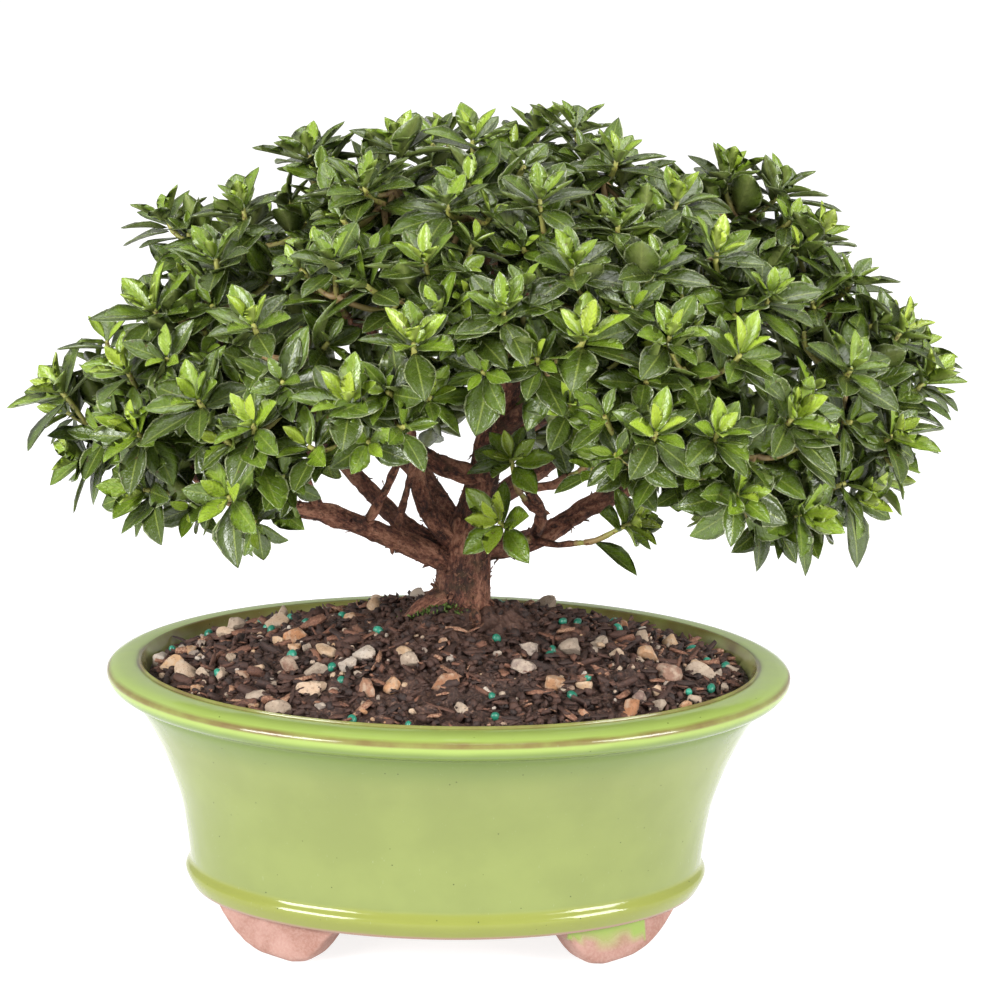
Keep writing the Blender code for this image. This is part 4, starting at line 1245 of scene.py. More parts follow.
@dataclass
class Pot:
    """The oval glazed pot: a flared wall under a rolled rim, a moulded band, and four unglazed feet."""

    inside: tuple = ((66, 18.5), (70.5, 21.5), (73.5, 38), (80, 56), (90.6, 79.6))
    rim: tuple = ((92, 80.9), (95.2, 81.2), (98.8, 80.7), (101.5, 79), (101, 76.2), (98.8, 74))
    wall: tuple = ((94.5, 72.3), (93.2, 70), (90, 65), (86.5, 58.3), (83, 50), (79.6, 39.5), (77.8, 29.3))
    band: tuple = ((77, 22.5), (76.9, 20), (78.2, 17.3), (76.3, 13), (75.5, 12.3))
    rim_half: tuple = (101.5, 80.0)
    oval_slope: float = 1.06
    floor_radius: float = 66.0
    segments: int = 208
    drains: tuple = (-38.0, 38.0)
    drain_radius: float = 7.0
    foot_inner: float = 63.5
    foot_outer: float = 74.6
    foot_top: float = 14.8
    # Where each foot starts and ends round the oval, in degrees, and how round its section is.
    foot_turns: tuple = (9.5, 72.0)
    foot_rounding: float = 0.42
    front_arch: tuple = ((22, 13.3), (28.5, 12.4), (32.5, 9.6), (36, 4.4), (39, 1.2), (43, 0))
    side_arch: tuple = ((9, 13.3), (14, 12.2), (18, 9.8), (24, 4.6), (29, 1.3), (35, 0))

    def half_depth(self, radius: Array) -> Array:
        """How far the ovals reach in Y.

        Args:
            radius: How far they reach in X.

        Returns:
            Their half-depths.
        """
        outer = self.rim_half[1] - self.oval_slope * (self.rim_half[0] - radius)
        floor = self.rim_half[1] - self.oval_slope * (self.rim_half[0] - self.floor_radius)
        return np.where(radius >= self.floor_radius, outer, radius * floor / self.floor_radius)

    def oval(self, radius: Array, angle: Array, height: Array) -> Array:
        """Points on the ovals of given radius: x = r cos a, y = depth(r) sin a.

        Args:
            radius: The ovals' half-lengths.
            angle: The angles round them.
            height: The heights.

        Returns:
            The points.
        """
        x, y = radius * np.cos(angle), self.half_depth(radius) * np.sin(angle)
        return np.stack(np.broadcast_arrays(x, y, height), -1)

    def build_body(self, glaze: Material, place: Array) -> Piece:
        """Make the glazed body with its drain holes.

        Args:
            glaze: Its material.
            place: Where the pot's centre lies in the frame, in metres.

        Returns:
            The piece.
        """
        outline = smooth_path(self.inside + self.rim + self.wall + self.band, 5)
        within = [(8, 18.5), (30, 18.5), (50, 18.5)]
        beneath = [(72, 12.3), (60, 12.3), (40, 12.3), (8, 12.3)]
        outline = np.vstack([within, outline, beneath])
        radius, height = outline[:, :1], outline[:, 1:]
        angle = np.linspace(0, 2 * math.pi, self.segments, endpoint=False)[None]
        points = self.oval(radius, angle, height)
        outer = (np.arange(len(outline)) > len(outline) // 3)[:, None]
        sway = 0.35 * lattice_noise(points * [1, 1, 0.2], 9.0, 3)
        above, beyond = height + sway, radius + sway
        outer_line = soft_step(radius + 0.3 * sway, 100.4, 101.0) * soft_step(height, 77.8, 78.5)
        inner_line = 0.9 * soft_step(beyond, 89.9, 90.8) * soft_step(beyond, 93.4, 92.2)
        marks = {
            "rim": soft_step(above, 73.2, 74.6),
            "line": outer_line + inner_line * soft_step(height, 78.0, 79.0),
            # Glaze pooled on the upper wall, darkened further as painted shade under the rim's overhang.
            "pool_and_rim_shade": outer * soft_step(above, 60.0, 72.5) * soft_step(above, 77.6, 75.6),
            # inside: painted light, a pale tone on the shaded inner wall below the rim.
            "inside": np.where(outer, 0.0, soft_step(height, 80.4, 79.0)) * np.ones_like(sway),
            "band": outer * soft_step(above, 21.5, 19.4),
            "foot": outer * soft_step(above, 13.6, 12.9),
        }
        shell = Shell(*marks)
        grid = points.shape[:2]
        poles = [(0, 0, 18.5), (0, 0, 12.3)]
        marks = {name: np.append(np.broadcast_to(values, grid), [0, 0]) for name, values in marks.items()}
        shell.add(np.vstack([points.reshape(-1, 3), poles]), capped_faces(*grid), **marks)
        body = shell.build("glazed_body", [glaze], place)
        self.drill(body, place)
        return body

    def drill(self, body: Piece, place: Array) -> None:
        """Cut the drain holes through the floor.

        Args:
            body: The glazed body.
            place: Where the pot's centre lies in the frame, in metres.
        """
        cutters = Shell()
        for x in self.drains:
            axis = np.array([[(x, 0, 5.0), (x, 0, 15.0), (x, 0, 25.0)]])
            points, faces, _ = tubes(axis, np.full((1, 3), self.drain_radius), 40)
            cutters.add(points, faces)
        cutter = cutters.build("drain_cutter", [], place)
        hole = body.modifiers.new("drains", "BOOLEAN")
        hole.object = cutter
        hole.solver = "EXACT"
        graph = bpy.context.evaluated_depsgraph_get()
        drilled = bpy.data.meshes.new_from_object(body.evaluated_get(graph), preserve_all_data_layers=True,
                                                  depsgraph=graph)
        body.modifiers.clear()
        solid = body.data
        body.data = drilled
        drilled.name = body.name
        bpy.data.meshes.remove(solid)
        bpy.data.objects.remove(cutter)

    def build_foot(self, name: str, sides: tuple[int, int], clay: Material, place: Array) -> Piece:
        """Make one foot: a rounded section carried along the oval, whose underside rises at both ends
        as the arches between the feet do.

        Args:
            name: The piece's name.
            sides: The signs of its X and Y.
            clay: Its material.
            place: Where the pot's centre lies in the frame, in metres.

        Returns:
            The piece.
        """
        middle = (self.foot_inner + self.foot_outer) / 2
        half = (self.foot_outer - self.foot_inner) / 2
        first, last = np.radians(self.foot_turns)
        turn = np.linspace(first, last, 110)[:, None]
        around = np.linspace(0, 2 * math.pi, 44, endpoint=False)[None]
        front_x, front_height = smooth_path(self.front_arch, 8).T
        side_y, side_height = smooth_path(self.side_arch, 8).T
        x = middle * np.cos(turn)
        y = self.half_depth(np.array(middle)) * np.sin(turn)
        base = np.maximum(np.interp(x, front_x, front_height), np.interp(y, side_y, side_height))
        across, upward = (np.sign(wave) * np.abs(wave) ** self.foot_rounding
                          for wave in (np.cos(around), np.sin(around)))
        radius = np.broadcast_to(middle + half * across, (len(turn), around.shape[1]))
        rise = 0.5 + 0.5 * upward
        height = base + (self.foot_top - base) * rise
        points = self.oval(radius - 0.10 * height * (radius > middle), turn, height) * [sides[0], sides[1], 1]
        points = points + 0.12 * lattice_noise(points, 3.0, 8)[..., None] * (rise[..., None] > 0.02)
        drips = sides == (1, -1)
        edge = 6.5 + 2.4 * np.sin(7.0 * turn + 1.0) + 1.2 * np.sin(19.0 * turn)
        edge = np.where((turn > math.radians(38)) & (turn < math.radians(62)), edge, 13.5)
        glaze = soft_step(height, edge - 0.5, edge + 0.5) * (radius > middle) * drips
        shell = Shell("glazed")
        poles = [points[0].mean(axis=0), points[-1].mean(axis=0)]
        shell.add(np.vstack([points.reshape(-1, 3), poles]), capped_faces(*height.shape),
                  glazed=np.append(glaze, [0, 0]))
        return shell.build(name, [clay], place)


@dataclass
class Ground:
    """The potting mix, heaped to the trunk's foot, with what lies on it."""

    pot: Pot
    edge_height: float = 77.0
    edge_gap: float = 0.3
    rise: float = 18.0
    foot: tuple = (3.0, 8.0)
    base: float = 19.9
    # Small heaps of earth at the trunk's foot: their middle, height and width.
    heaps: tuple = (((17.0, 0.0), 4.0, 8.0), ((0.0, -6.0), 3.0, 10.0))
    rows: int = 124
    columns: int = 470

    def edge(self, height: float) -> float:
        """The radius of the mix at a height: the pot's inside less a small gap."""
        radius, level = np.transpose(self.pot.inside)
        return float(np.interp(height, level, radius)) - self.edge_gap

    def surface(self, share: Array, angle: Array) -> Array:
        """A place on the heap, whose height falls with share to the power 1.45, with slow swells and
        small heaps of earth added.

        Args:
            share: 1 at the pot's edge and 0 at the trunk's foot.
            angle: The angle round the heap.

        Returns:
            The place.
        """
        edge = self.edge(self.edge_height)
        swell = 0.9 * np.sin(3 * angle + 1.3) * np.sin(5 * share)
        swell = swell + 0.6 * np.sin(7 * angle) * share * (1 - share)
        height = self.edge_height + self.rise * (1 - share**1.45) + 2 * (1 - share) * swell
        x = share * edge * np.cos(angle) + (1 - share) * self.foot[0]
        y = share * float(self.pot.half_depth(np.array(edge))) * np.sin(angle) + (1 - share) * self.foot[1]
        for (middle_x, middle_y), high, wide in self.heaps:
            height = height + high * np.exp(-((x - middle_x) ** 2 + (y - middle_y) ** 2) / wide**2)
        return np.stack(np.broadcast_arrays(x, y, height), -1)

    def crumbled(self, points: Array) -> Array:
        """The crumbs' height at places: noise of three sizes."""
        noise = 1.0 * lattice_noise(points, 6.5, 1) + 1.1 * lattice_noise(points, 2.9, 2)
        return noise + 0.8 * lattice_noise(points, 1.5, 4)

    def build(self, earth: Material, place: Array) -> Piece:
        """Make the mix itself, closed below.

        Args:
            earth: Its material.
            place: Where the pot's centre lies in the frame, in metres.

        Returns:
            The piece.
        """
        angle = np.linspace(0, 2 * math.pi, self.columns, endpoint=False)[None]
        share = np.linspace(1.0, 0.03, self.rows)[:, None]
        top = self.surface(share, angle)
        top[..., 2] += self.crumbled(top) * np.minimum(1, 8 * (1.02 - share))
        levels = np.array([self.base, self.base, 30.0, 45.0, 60.0, 74.0])[:, None]
        radii = np.array([30.0] + [self.edge(level) for level in levels[1:, 0]])[:, None]
        below = self.pot.oval(radii, angle, levels)
        grid = np.concatenate([below, top])
        poles = [(0, 0, self.base), (*self.foot, self.edge_height + self.rise)]
        shell = Shell()
        shell.add(np.vstack([grid.reshape(-1, 3), poles]), capped_faces(*grid.shape[:2]))
        return shell.build("potting_mix", [earth], place)

    def scattered(self, chance: np.random.Generator, count: int, low: float,
                  high: float = 0.98) -> tuple[Array, Array, Array]:
        """Scatter places evenly over the heap: share is the root of an even draw.

        Args:
            chance: The seeded source of variation.
            count: How many.
            low: The least share.
            high: The greatest share.

        Returns:
            The places, and their shares and angles.
        """
        share = np.sqrt(chance.uniform(low**2, high**2, count))
        angle = chance.uniform(0, 2 * math.pi, count)
        return self.surface(share, angle), share, angle


def lumps(centres: Array, radii: Array, chance: np.random.Generator, rows: int, columns: int, cuts: int,
          squash: float, depths: tuple[float, float] = (0.55, 0.85)) -> tuple[Array, list[Array]]:
    """Stones and crumbs: round forms with a few flats cut across each. A point beyond a flat's plane is
    drawn back onto it.

    Args:
        centres: Their middles.
        radii: Their half-lengths.
        chance: The seeded source of variation.
        rows: The rings on each.
        columns: The points on a ring.
        cuts: How many flats each has.
        squash: Their height as a share of their length.
        depths: The least and greatest distance of a flat from the middle, as a share of the radius.

    Returns:
        The points and faces.
    """
    count = len(centres)
    polar = np.linspace(0, math.pi, rows + 2)[1:-1, None]
    around = np.linspace(0, 2 * math.pi, columns, endpoint=False)[None]
    ring = [np.sin(polar) * np.cos(around), np.sin(polar) * np.sin(around), np.cos(polar)]
    ring = np.stack(np.broadcast_arrays(*ring), -1)
    sphere = np.vstack([ring.reshape(-1, 3), [(0, 0, 1), (0, 0, -1)]])
    points = np.repeat(sphere[None], count, axis=0)
    for _ in range(cuts):
        normal = unit(chance.normal(size=(count, 1, 3)))
        depth = chance.uniform(*depths, (count, 1))
        beyond = np.maximum(np.sum(points * normal, axis=2) - depth, 0)
        points = points - beyond[..., None] * normal
    stretch = np.stack([chance.uniform(0.95, 1.2, count), chance.uniform(0.7, 0.95, count),
                        squash * chance.uniform(0.85, 1.1, count)], axis=1)
    turn = chance.uniform(0, 2 * math.pi, count)[:, None]
    points = points * stretch[:, None]
    x, y, z = np.moveaxis(points, 2, 0)
    turned = [x * np.cos(turn) - y * np.sin(turn), x * np.sin(turn) + y * np.cos(turn), z + 0.2 * x]
    points = centres[:, None] + np.stack(turned, axis=2) * np.asarray(radii)[:, None, None]
    return points.reshape(-1, 3), capped_faces(rows, columns, count)


@dataclass
class Litter:
    """What lies on the mix: stones, bark chips, crumbs, feed prills and a little moss."""

    ground: Ground
    solid_stones: int = 16
    # Where stones lie thickest: the angle round the heap, its spread and its weight.
    stone_beds: tuple = ((math.radians(222), 0.5, 0.8), (math.radians(330), 0.5, 0.8),
                         (math.radians(178), 0.3, 0.4))
    # The solids' stones: their shares of the way out, spacing and radii.
    solid_shares: tuple = (0.34, 0.86)
    solid_gap: float = 10.0
    solid_radii: tuple = (2.4, 4.4)
    more_stones: int = 84
    grains: int = 260
    chips: int = 1500
    crumbs: int = 2400
    prills: int = 46
    moss: int = 240
    # The moss's middle angle round the heap and its spread, in radians.
    moss_turn: tuple = (math.radians(228), 0.36)

    def stones(self, rock: Material, place: Array) -> Piece:
        """Make the stones: first those of the solids, then smaller ones among them, more to the front
        and the sides.

        Args:
            rock: Their material.
            place: Where the pot's centre lies in the frame, in metres.

        Returns:
            The piece.
        """
        random = Random(SOIL_SEED)
        kept: list[Array] = []
        radii: list[float] = []
        while len(kept) < self.solid_stones:
            share, angle = random.uniform(*self.solid_shares), random.uniform(0, 2 * math.pi)
            spot = self.ground.surface(np.array(share), np.array(angle))
            if any(np.hypot(*(spot - other)[:2]) < self.solid_gap for other in kept):
                continue
            radius = random.uniform(*self.solid_radii)
            # The solids draw a length for each of a stone's 12 corners here, and the next stone's
            # place depends on those draws.
            for _ in range(12):
                random.uniform(0.85, 1.15)
            kept.append(spot)
            radii.append(radius)
        chance = np.random.default_rng(LEAF_SEED + 2)
        while len(kept) < self.solid_stones + self.more_stones:
            spots, share, angle = self.ground.scattered(chance, 1, 0.45, 0.97)
            favour = 0.10 + sum(
                weight * math.exp(-((math.remainder(angle[0] - turn, 2 * math.pi) / width) ** 2))
                for turn, width, weight in self.stone_beds)
            radius = 1.3 + 3.0 * float(chance.uniform()) ** 1.7
            if chance.uniform() > favour:
                continue
            if any(np.linalg.norm(spots[0] - other) < radius + wide for other, wide in zip(kept, radii)):
                continue
            kept.append(spots[0])
            radii.append(radius)
        centres = np.array(kept) + np.array(radii)[:, None] * np.array([0, 0, 0.3])
        points, faces = lumps(centres, np.array(radii) * 1.22, chance, 11, 18, 9, 0.8, (0.42, 0.8))
        pitted = lattice_noise(points, 1.1, 12) + 0.6 * lattice_noise(points, 0.55, 13)
        outwards = unit(points - per_point(centres, points))
        shell = Shell("tone")
        tone = per_point(chance.uniform(0, 1, len(kept)), points)
        shell.add(points + 0.2 * pitted[:, None] * outwards, faces, tone=tone)
        spots, _, _ = self.ground.scattered(chance, self.grains, 0.35, 0.98)
        sizes = 0.6 + 0.8 * chance.uniform(0, 1, self.grains) ** 2
        points, faces = lumps(spots + [0, 0, 0.7], sizes, chance, 5, 8, 4, 0.85, (0.5, 0.85))
        shell.add(points, faces, tone=per_point(chance.uniform(0, 1, self.grains), points))
        stones = shell.build("gravel_stones", [rock], place)
        stones.data.set_sharp_from_angle(angle=math.radians(28))
        return stones

    def fragments(self, bark: Material, place: Array) -> Piece:
        """Make the bark chips and fibres that lie about at all angles, and the crumbs of the mix.

        Args:
            bark: Their material.
            place: Where the pot's centre lies in the frame, in metres.

        Returns:
            The piece.
        """
        chance = np.random.default_rng(LEAF_SEED + 3)
        count = self.chips
        spots, _, _ = self.ground.scattered(chance, count, 0.26)
        heading = chance.uniform(0, 2 * math.pi, count)
        tilt = chance.normal(0.05, 0.3, count)
        way = np.stack([np.cos(heading), np.sin(heading), tilt], axis=1)
        side = np.stack([-np.sin(heading), np.cos(heading), np.zeros(count)], axis=1)
        length = 1.8 + 7.5 * chance.uniform(0, 1, count) ** 3
        t = np.linspace(-0.5, 0.5, 4)[None, :, None]
        bend = side * chance.uniform(-0.12, 0.12, count)[:, None]
        paths = (spots + [0, 0, 1.1])[:, None] + way[:, None] * t * length[:, None, None]
        paths = paths + bend[:, None] * (4 * t * t) * length[:, None, None]
        thick = (length * chance.uniform(0.08, 0.42, count))[:, None].clip(0.3, 1.5)
        flat = -0.75 * np.sin(np.linspace(0, 2 * math.pi, 6, endpoint=False)) ** 2
        rough = flat + 0.28 * chance.normal(size=(count, 4, 6)).clip(-1, 1)
        points, faces, _ = tubes(paths, thick * np.array([[0.75, 1.0, 0.9, 0.6]]), 6, rough)
        shell = Shell("tone")
        tone = 0.12 + 0.88 * chance.uniform(0, 1, count) ** 1.6
        shell.add(points, faces, tone=per_point(tone, points))
        spots, _, _ = self.ground.scattered(chance, self.crumbs, 0.1)
        sizes = 0.5 + 1.3 * chance.uniform(0, 1, self.crumbs) ** 2
        points, faces = lumps(spots + [0, 0, 0.5], sizes, chance, 3, 6, 2, 0.85)
        shell.add(points, faces, tone=per_point(chance.uniform(0, 0.55, self.crumbs), points))
        return shell.build("bark_chips_and_crumbs", [bark], place)

    def feed(self, plastic: Material, place: Array) -> Piece:
        """Make the round prills of plant food.

        Args:
            plastic: Their material.
            place: Where the pot's centre lies in the frame, in metres.

        Returns:
            The piece.
        """
        chance = np.random.default_rng(LEAF_SEED + 4)
        spots, _, _ = self.ground.scattered(chance, self.prills, 0.3, 0.97)
        sizes = chance.uniform(1.1, 1.6, self.prills)
        points, faces = lumps(spots + [0, 0, 1.2], sizes, chance, 7, 12, 0, 1.0)
        shell = Shell("tone")
        shell.add(points, faces, tone=per_point(chance.uniform(0, 1, self.prills), points))
        return shell.build("feed_prills", [plastic], place)

    def moss_tufts(self, moss: Material, place: Array) -> Piece:
        """Make the moss in front and to the left of the trunk's foot.

        Args:
            moss: Its material.
            place: Where the pot's centre lies in the frame, in metres.

        Returns:
            The piece.
        """
        chance = np.random.default_rng(LEAF_SEED + 5)
        angle = chance.normal(*self.moss_turn, self.moss)
        share = 0.12 + 0.09 * chance.uniform(0, 1, self.moss) ** 1.5
        base = self.ground.surface(share, angle) + np.array([0, 0, 0.4])
        way = unit(0.7 * chance.normal(size=(self.moss, 3)) + np.array([0, 0, 1.0]))
        up = unit(np.cross(way, unit(chance.normal(size=(self.moss, 3)))))
        blades = Blades(thickness=0.15, stations=(0.3, 0.7), upper=(-1.0, 0.0, 1.0))
        blades.add(base, way, up, length=chance.uniform(0.9, 1.9, self.moss), width=0.5, droop=0.1, cup=0.1,
                   wave=0.0, age=chance.uniform(0, 1, self.moss), tone=chance.uniform(0, 1, self.moss))
        points, faces, marks = blades.shaped()
        shell = Shell("age")
        shell.add(points, faces, age=marks["age"])
        return shell.build("moss_tufts", [moss], place)


@dataclass(frozen=True)
class Glaze:
    """Glossy pistachio glaze, thin and olive-brown on edges, deeper green on the rim and where it pools, with
    painted shade under the rim and a pale painted light on the inner wall.
    """

    body: tuple = (0.174, 0.206, 0.059)
    rim: tuple = (0.265, 0.355, 0.080)
    # Deeper green of pooled glaze, which also serves as painted shade under the rim.
    pool_and_rim_shade: tuple = (0.105, 0.160, 0.030)
    thin: tuple = (0.115, 0.052, 0.024)
    band: tuple = (0.205, 0.215, 0.030)
    # inside: painted light on the shaded inner wall, paler than the glaze itself.
    inside: tuple = (0.36, 0.38, 0.15)
    clay: tuple = (0.27, 0.17, 0.12)
    speck: tuple = (0.05, 0.065, 0.015)
    scratch: tuple = (0.31, 0.36, 0.22)

    def material(self) -> Material:
        """Build the node material.

        Returns:
            The material.
        """
        r = Recipe("glazed_ceramic")
        cloud = r.noise(22.0, 4.0)
        body = r.mix(r.span(cloud, 0.35, 0.65), self.body, tuple(1.09 * c for c in self.body))
        colour = r.mix(r.times(r.mark("rim"), 0.85), body, self.rim)
        # Painted light: the inner wall below the rim is painted pale where it lies in shade.
        colour = r.mix(r.mark("inside"), colour, self.inside)
        # Pooled glaze and painted shade under the rim.
        colour = r.mix(r.times(r.mark("pool_and_rim_shade"), 0.75), colour, self.pool_and_rim_shade)
        colour = r.mix(r.times(r.mark("band"), 0.6), colour, self.band)
        ragged = r.times(r.mark("line"), r.span(r.noise(16.0, 5.0), 0.3, 0.7, 0.55, 1.0))
        colour = r.mix(r.times(ragged, 0.88), colour, self.thin)
        colour = r.mix(r.mark("foot"), colour, self.clay)
        specks, own = r.cells(3.2)
        rare = r.span(own, 0.62, 0.66)
        colour = r.mix(r.times(r.span(specks, 0.09, 0.05), rare), colour, self.speck)
        scratch = r.span(r.noise(1.6, 1.0, 0.4, r.stretched(4.0, 4.0, 0.35)), 0.76, 0.8)
        colour = r.mix(r.times(scratch, 0.35), colour, self.scratch)
        swell = r.bump(r.noise(9.0, 1.0), 0.16)
        normal = r.bump(r.noise(0.7, 2.0), 0.012, swell)
        rough = r.span(r.noise(6.0, 4.0), 0.3, 0.7, 0.09, 0.19)
        return r.finish(Base_Color=colour, Roughness=rough, Normal=normal, IOR=1.46)


@dataclass(frozen=True)
class Clay:
    """Bare pinkish earthenware, with glaze where it ran down."""

    pale: tuple = (0.33, 0.185, 0.150)
    dark: tuple = (0.24, 0.115, 0.085)
    grains: tuple = (0.40, 0.26, 0.22)
    glaze: tuple = (0.20, 0.275, 0.05)

    def material(self) -> Material:
        """Build the node material.

        Returns:
            The material.
        """
        r = Recipe("unglazed_earthenware")
        grain = r.noise(0.9, 4.0, 0.7)
        colour = r.mix(r.span(r.noise(7.0, 3.0), 0.3, 0.7), self.dark, self.pale)
        colour = r.mix(r.span(grain, 0.35, 0.7, 0.0, 0.4), colour, self.grains)
        run = r.mark("glazed")
        colour = r.mix(run, colour, self.glaze)
        height = r.plus(r.times(grain, r.maths("SUBTRACT", 1.0, run)), r.times(run, 1.4))
        rough = r.span(run, 0.2, 0.8, 0.82, 0.15)
        return r.finish(Base_Color=colour, Roughness=rough, Normal=r.bump(height, 0.25))


@dataclass(frozen=True)
class Earth:
    """Dark, moist potting mix with paler specks, drier on the mound."""

    deep: tuple = (0.018, 0.0085, 0.0062)
    mid: tuple = (0.070, 0.031, 0.021)
    pale: tuple = (0.24, 0.14, 0.092)
    dry: tuple = (0.15, 0.075, 0.052)

    def material(self) -> Material:
        """Build the node material.

        Returns:
            The material.
        """
        r = Recipe("potting_earth")
        grain = r.noise(0.9, 5.0, 0.75)
        colour = r.ramp(grain, (0.36, self.deep), (0.53, self.mid), (0.70, self.pale))
        colour = r.mix(r.span(r.noise(9.0, 3.0), 0.4, 0.7, 0.0, 0.5), colour, self.deep)
        flecks, own = r.cells(1.7)
        pale = r.times(r.span(flecks, 0.30, 0.2), r.span(own, 0.75, 0.8))
        colour = r.mix(r.times(pale, 0.8), colour, self.pale)
        colour = r.mix(r.span(r.height(), 0.086, 0.096, 0.0, 0.4), colour, self.dry)
        rough = r.span(r.noise(2.0, 3.0), 0.4, 0.62, 0.85, 0.45)
        return r.finish(Base_Color=colour, Roughness=rough, Normal=r.bump(grain, 0.8))


@dataclass(frozen=True)
class Chips:
    """Bark chips and crumbs, each of its own brown."""

    stops: tuple = ((0.0, (0.015, 0.0075, 0.006)), (0.5, (0.070, 0.029, 0.018)),
                    (0.8, (0.19, 0.080, 0.045)), (1.0, (0.46, 0.29, 0.18)))

    def material(self) -> Material:
        """Build the node material.

        Returns:
            The material.
        """
        r = Recipe("bark_fragments")
        grain = r.noise(0.6, 4.0, 0.7)
        tone = r.plus(r.times(r.mark("tone"), 0.85), r.span(grain, 0.3, 0.7, -0.12, 0.15))
        return r.finish(Base_Color=r.ramp(tone, *self.stops), Roughness=0.72, Normal=r.bump(grain, 0.3))


@dataclass(frozen=True)
class Rock:
    """Small angular stones, from grey-white through tan to orange-brown, pitted and specked."""

    stops: tuple = ((0.0, (0.29, 0.23, 0.18)), (0.3, (0.47, 0.34, 0.24)), (0.5, (0.45, 0.28, 0.15)),
                    (0.66, (0.40, 0.17, 0.07)), (0.8, (0.17, 0.11, 0.09)), (1.0, (0.48, 0.41, 0.34)))
    dust: tuple = (0.50, 0.40, 0.30)
    pit: tuple = (0.13, 0.08, 0.055)

    def material(self) -> Material:
        """Build the node material.

        Returns:
            The material.
        """
        r = Recipe("gravel")
        grain = r.noise(0.8, 5.0, 0.7)
        colour = r.ramp(r.mark("tone"), *self.stops)
        colour = r.mix(r.span(r.noise(2.4, 3.0), 0.42, 0.66, 0.0, 0.55), colour, self.dust)
        colour = r.mix(r.span(grain, 0.56, 0.68, 0.0, 0.75), colour, self.pit)
        rough = r.span(grain, 0.3, 0.7, 0.5, 0.9)
        return r.finish(Base_Color=colour, Roughness=rough, Normal=r.bump(grain, 0.7))


@dataclass(frozen=True)
class Prill:
    """Teal-green coated plant food."""

    stops: tuple = ((0.0, (0.010, 0.12, 0.075)), (1.0, (0.03, 0.26, 0.17)))
    stain: tuple = (0.02, 0.06, 0.035)

    def material(self) -> Material:
        """Build the node material.

        Returns:
            The material.
        """
        r = Recipe("coated_prill")
        stained = r.span(r.noise(1.3, 3.0), 0.52, 0.7, 0.0, 0.45)
        colour = r.mix(stained, r.ramp(r.mark("tone"), *self.stops), self.stain)
        return r.finish(Base_Color=colour, Roughness=0.34, Normal=r.bump(r.noise(0.5, 2.0), 0.08))


@dataclass(frozen=True)
class Moss:
    """Short moss, from olive to bright green."""

    old: tuple = (0.05, 0.07, 0.012)
    young: tuple = (0.13, 0.23, 0.03)

    def material(self) -> Material:
        """Build the node material.

        Returns:
            The material.
        """
        r = Recipe("moss")
        colour = r.mix(r.mark("age"), self.young, self.old)
        return r.finish(Base_Color=colour, Roughness=0.75, Normal=r.bump(r.noise(0.4, 2.0), 0.1))


@dataclass(frozen=True)
class Plastic:
    """Black drain screen, dusted with earth."""

    black: tuple = (0.012, 0.012, 0.012)
    earth: tuple = (0.10, 0.06, 0.04)

    def material(self) -> Material:
        """Build the node material.

        Returns:
            The material.
        """
        r = Recipe("screen_plastic")
        dust = r.span(r.noise(1.5, 4.0), 0.5, 0.7, 0.0, 0.6)
        colour = r.mix(dust, self.black, self.earth)
        rough = r.span(dust, 0.0, 0.6, 0.38, 0.85)
        return r.finish(Base_Color=colour, Roughness=rough, Normal=r.bump(r.noise(0.6, 2.0), 0.05))


@dataclass(frozen=True)
class Bark:
    """Reddish-brown bark that flakes in long fibres, greener and tan on the thin twigs."""

    crack: tuple = (0.036, 0.0130, 0.0088)
    body: tuple = (0.195, 0.065, 0.037)
    flake: tuple = (0.46, 0.215, 0.130)
    tan: tuple = (0.43, 0.200, 0.110)
    olive: tuple = (0.105, 0.082, 0.026)
    twig: tuple = (0.20, 0.115, 0.042)
    moss: tuple = (0.09, 0.11, 0.03)

    def material(self) -> Material:
        """Build the node material.

        Returns:
            The material.
        """
        r = Recipe("fibrous_bark")
        along = r.times(r.mark("lengthwise"), 0.42)
        place = {0: r.mark("round_x"), 1: r.mark("round_y"), 2: along}
        place = r.node("ShaderNodeCombineXYZ", place).outputs[0]
        grain = {"Vector": place, "Scale": 1.25, "Detail": 6.0, "Roughness": 0.72}
        grain = r.node("ShaderNodeTexNoise", grain).outputs[0]
        raised = r.span(r.mark("crack"), -0.35, 0.55, -0.13, 0.13)
        colour = r.ramp(r.plus(grain, raised), (0.36, self.crack), (0.50, self.body), (0.68, self.flake))
        colour = r.mix(r.times(r.mark("flake"), 0.5), colour, self.flake)
        colour = r.mix(r.span(r.noise(14.0, 3.0), 0.45, 0.65, 0.0, 0.45), colour, self.crack)
        crumbs = r.noise(1.3, 5.0, 0.7)
        colour = r.mix(r.span(crumbs, 0.47, 0.36, 0.0, 0.62), colour, self.crack)
        colour = r.mix(r.span(crumbs, 0.55, 0.68, 0.0, 0.75), colour, self.tan)
        colour = r.mix(r.span(r.noise(7.0, 3.0), 0.56, 0.68, 0.0, 0.2), colour, self.olive)
        thin = r.span(r.mark("girth"), 1.0, 0.8, 0.0, 0.6)
        colour = r.mix(thin, colour, self.twig)
        low = r.span(r.height(), 0.112, 0.096)
        mossy = r.times(low, r.span(r.noise(4.0, 4.0), 0.52, 0.66, 0.0, 0.18))
        colour = r.mix(mossy, colour, self.moss)
        return r.finish(Base_Color=colour, Roughness=0.8, Normal=r.bump(crumbs, 0.7, r.bump(grain, 1.1)))


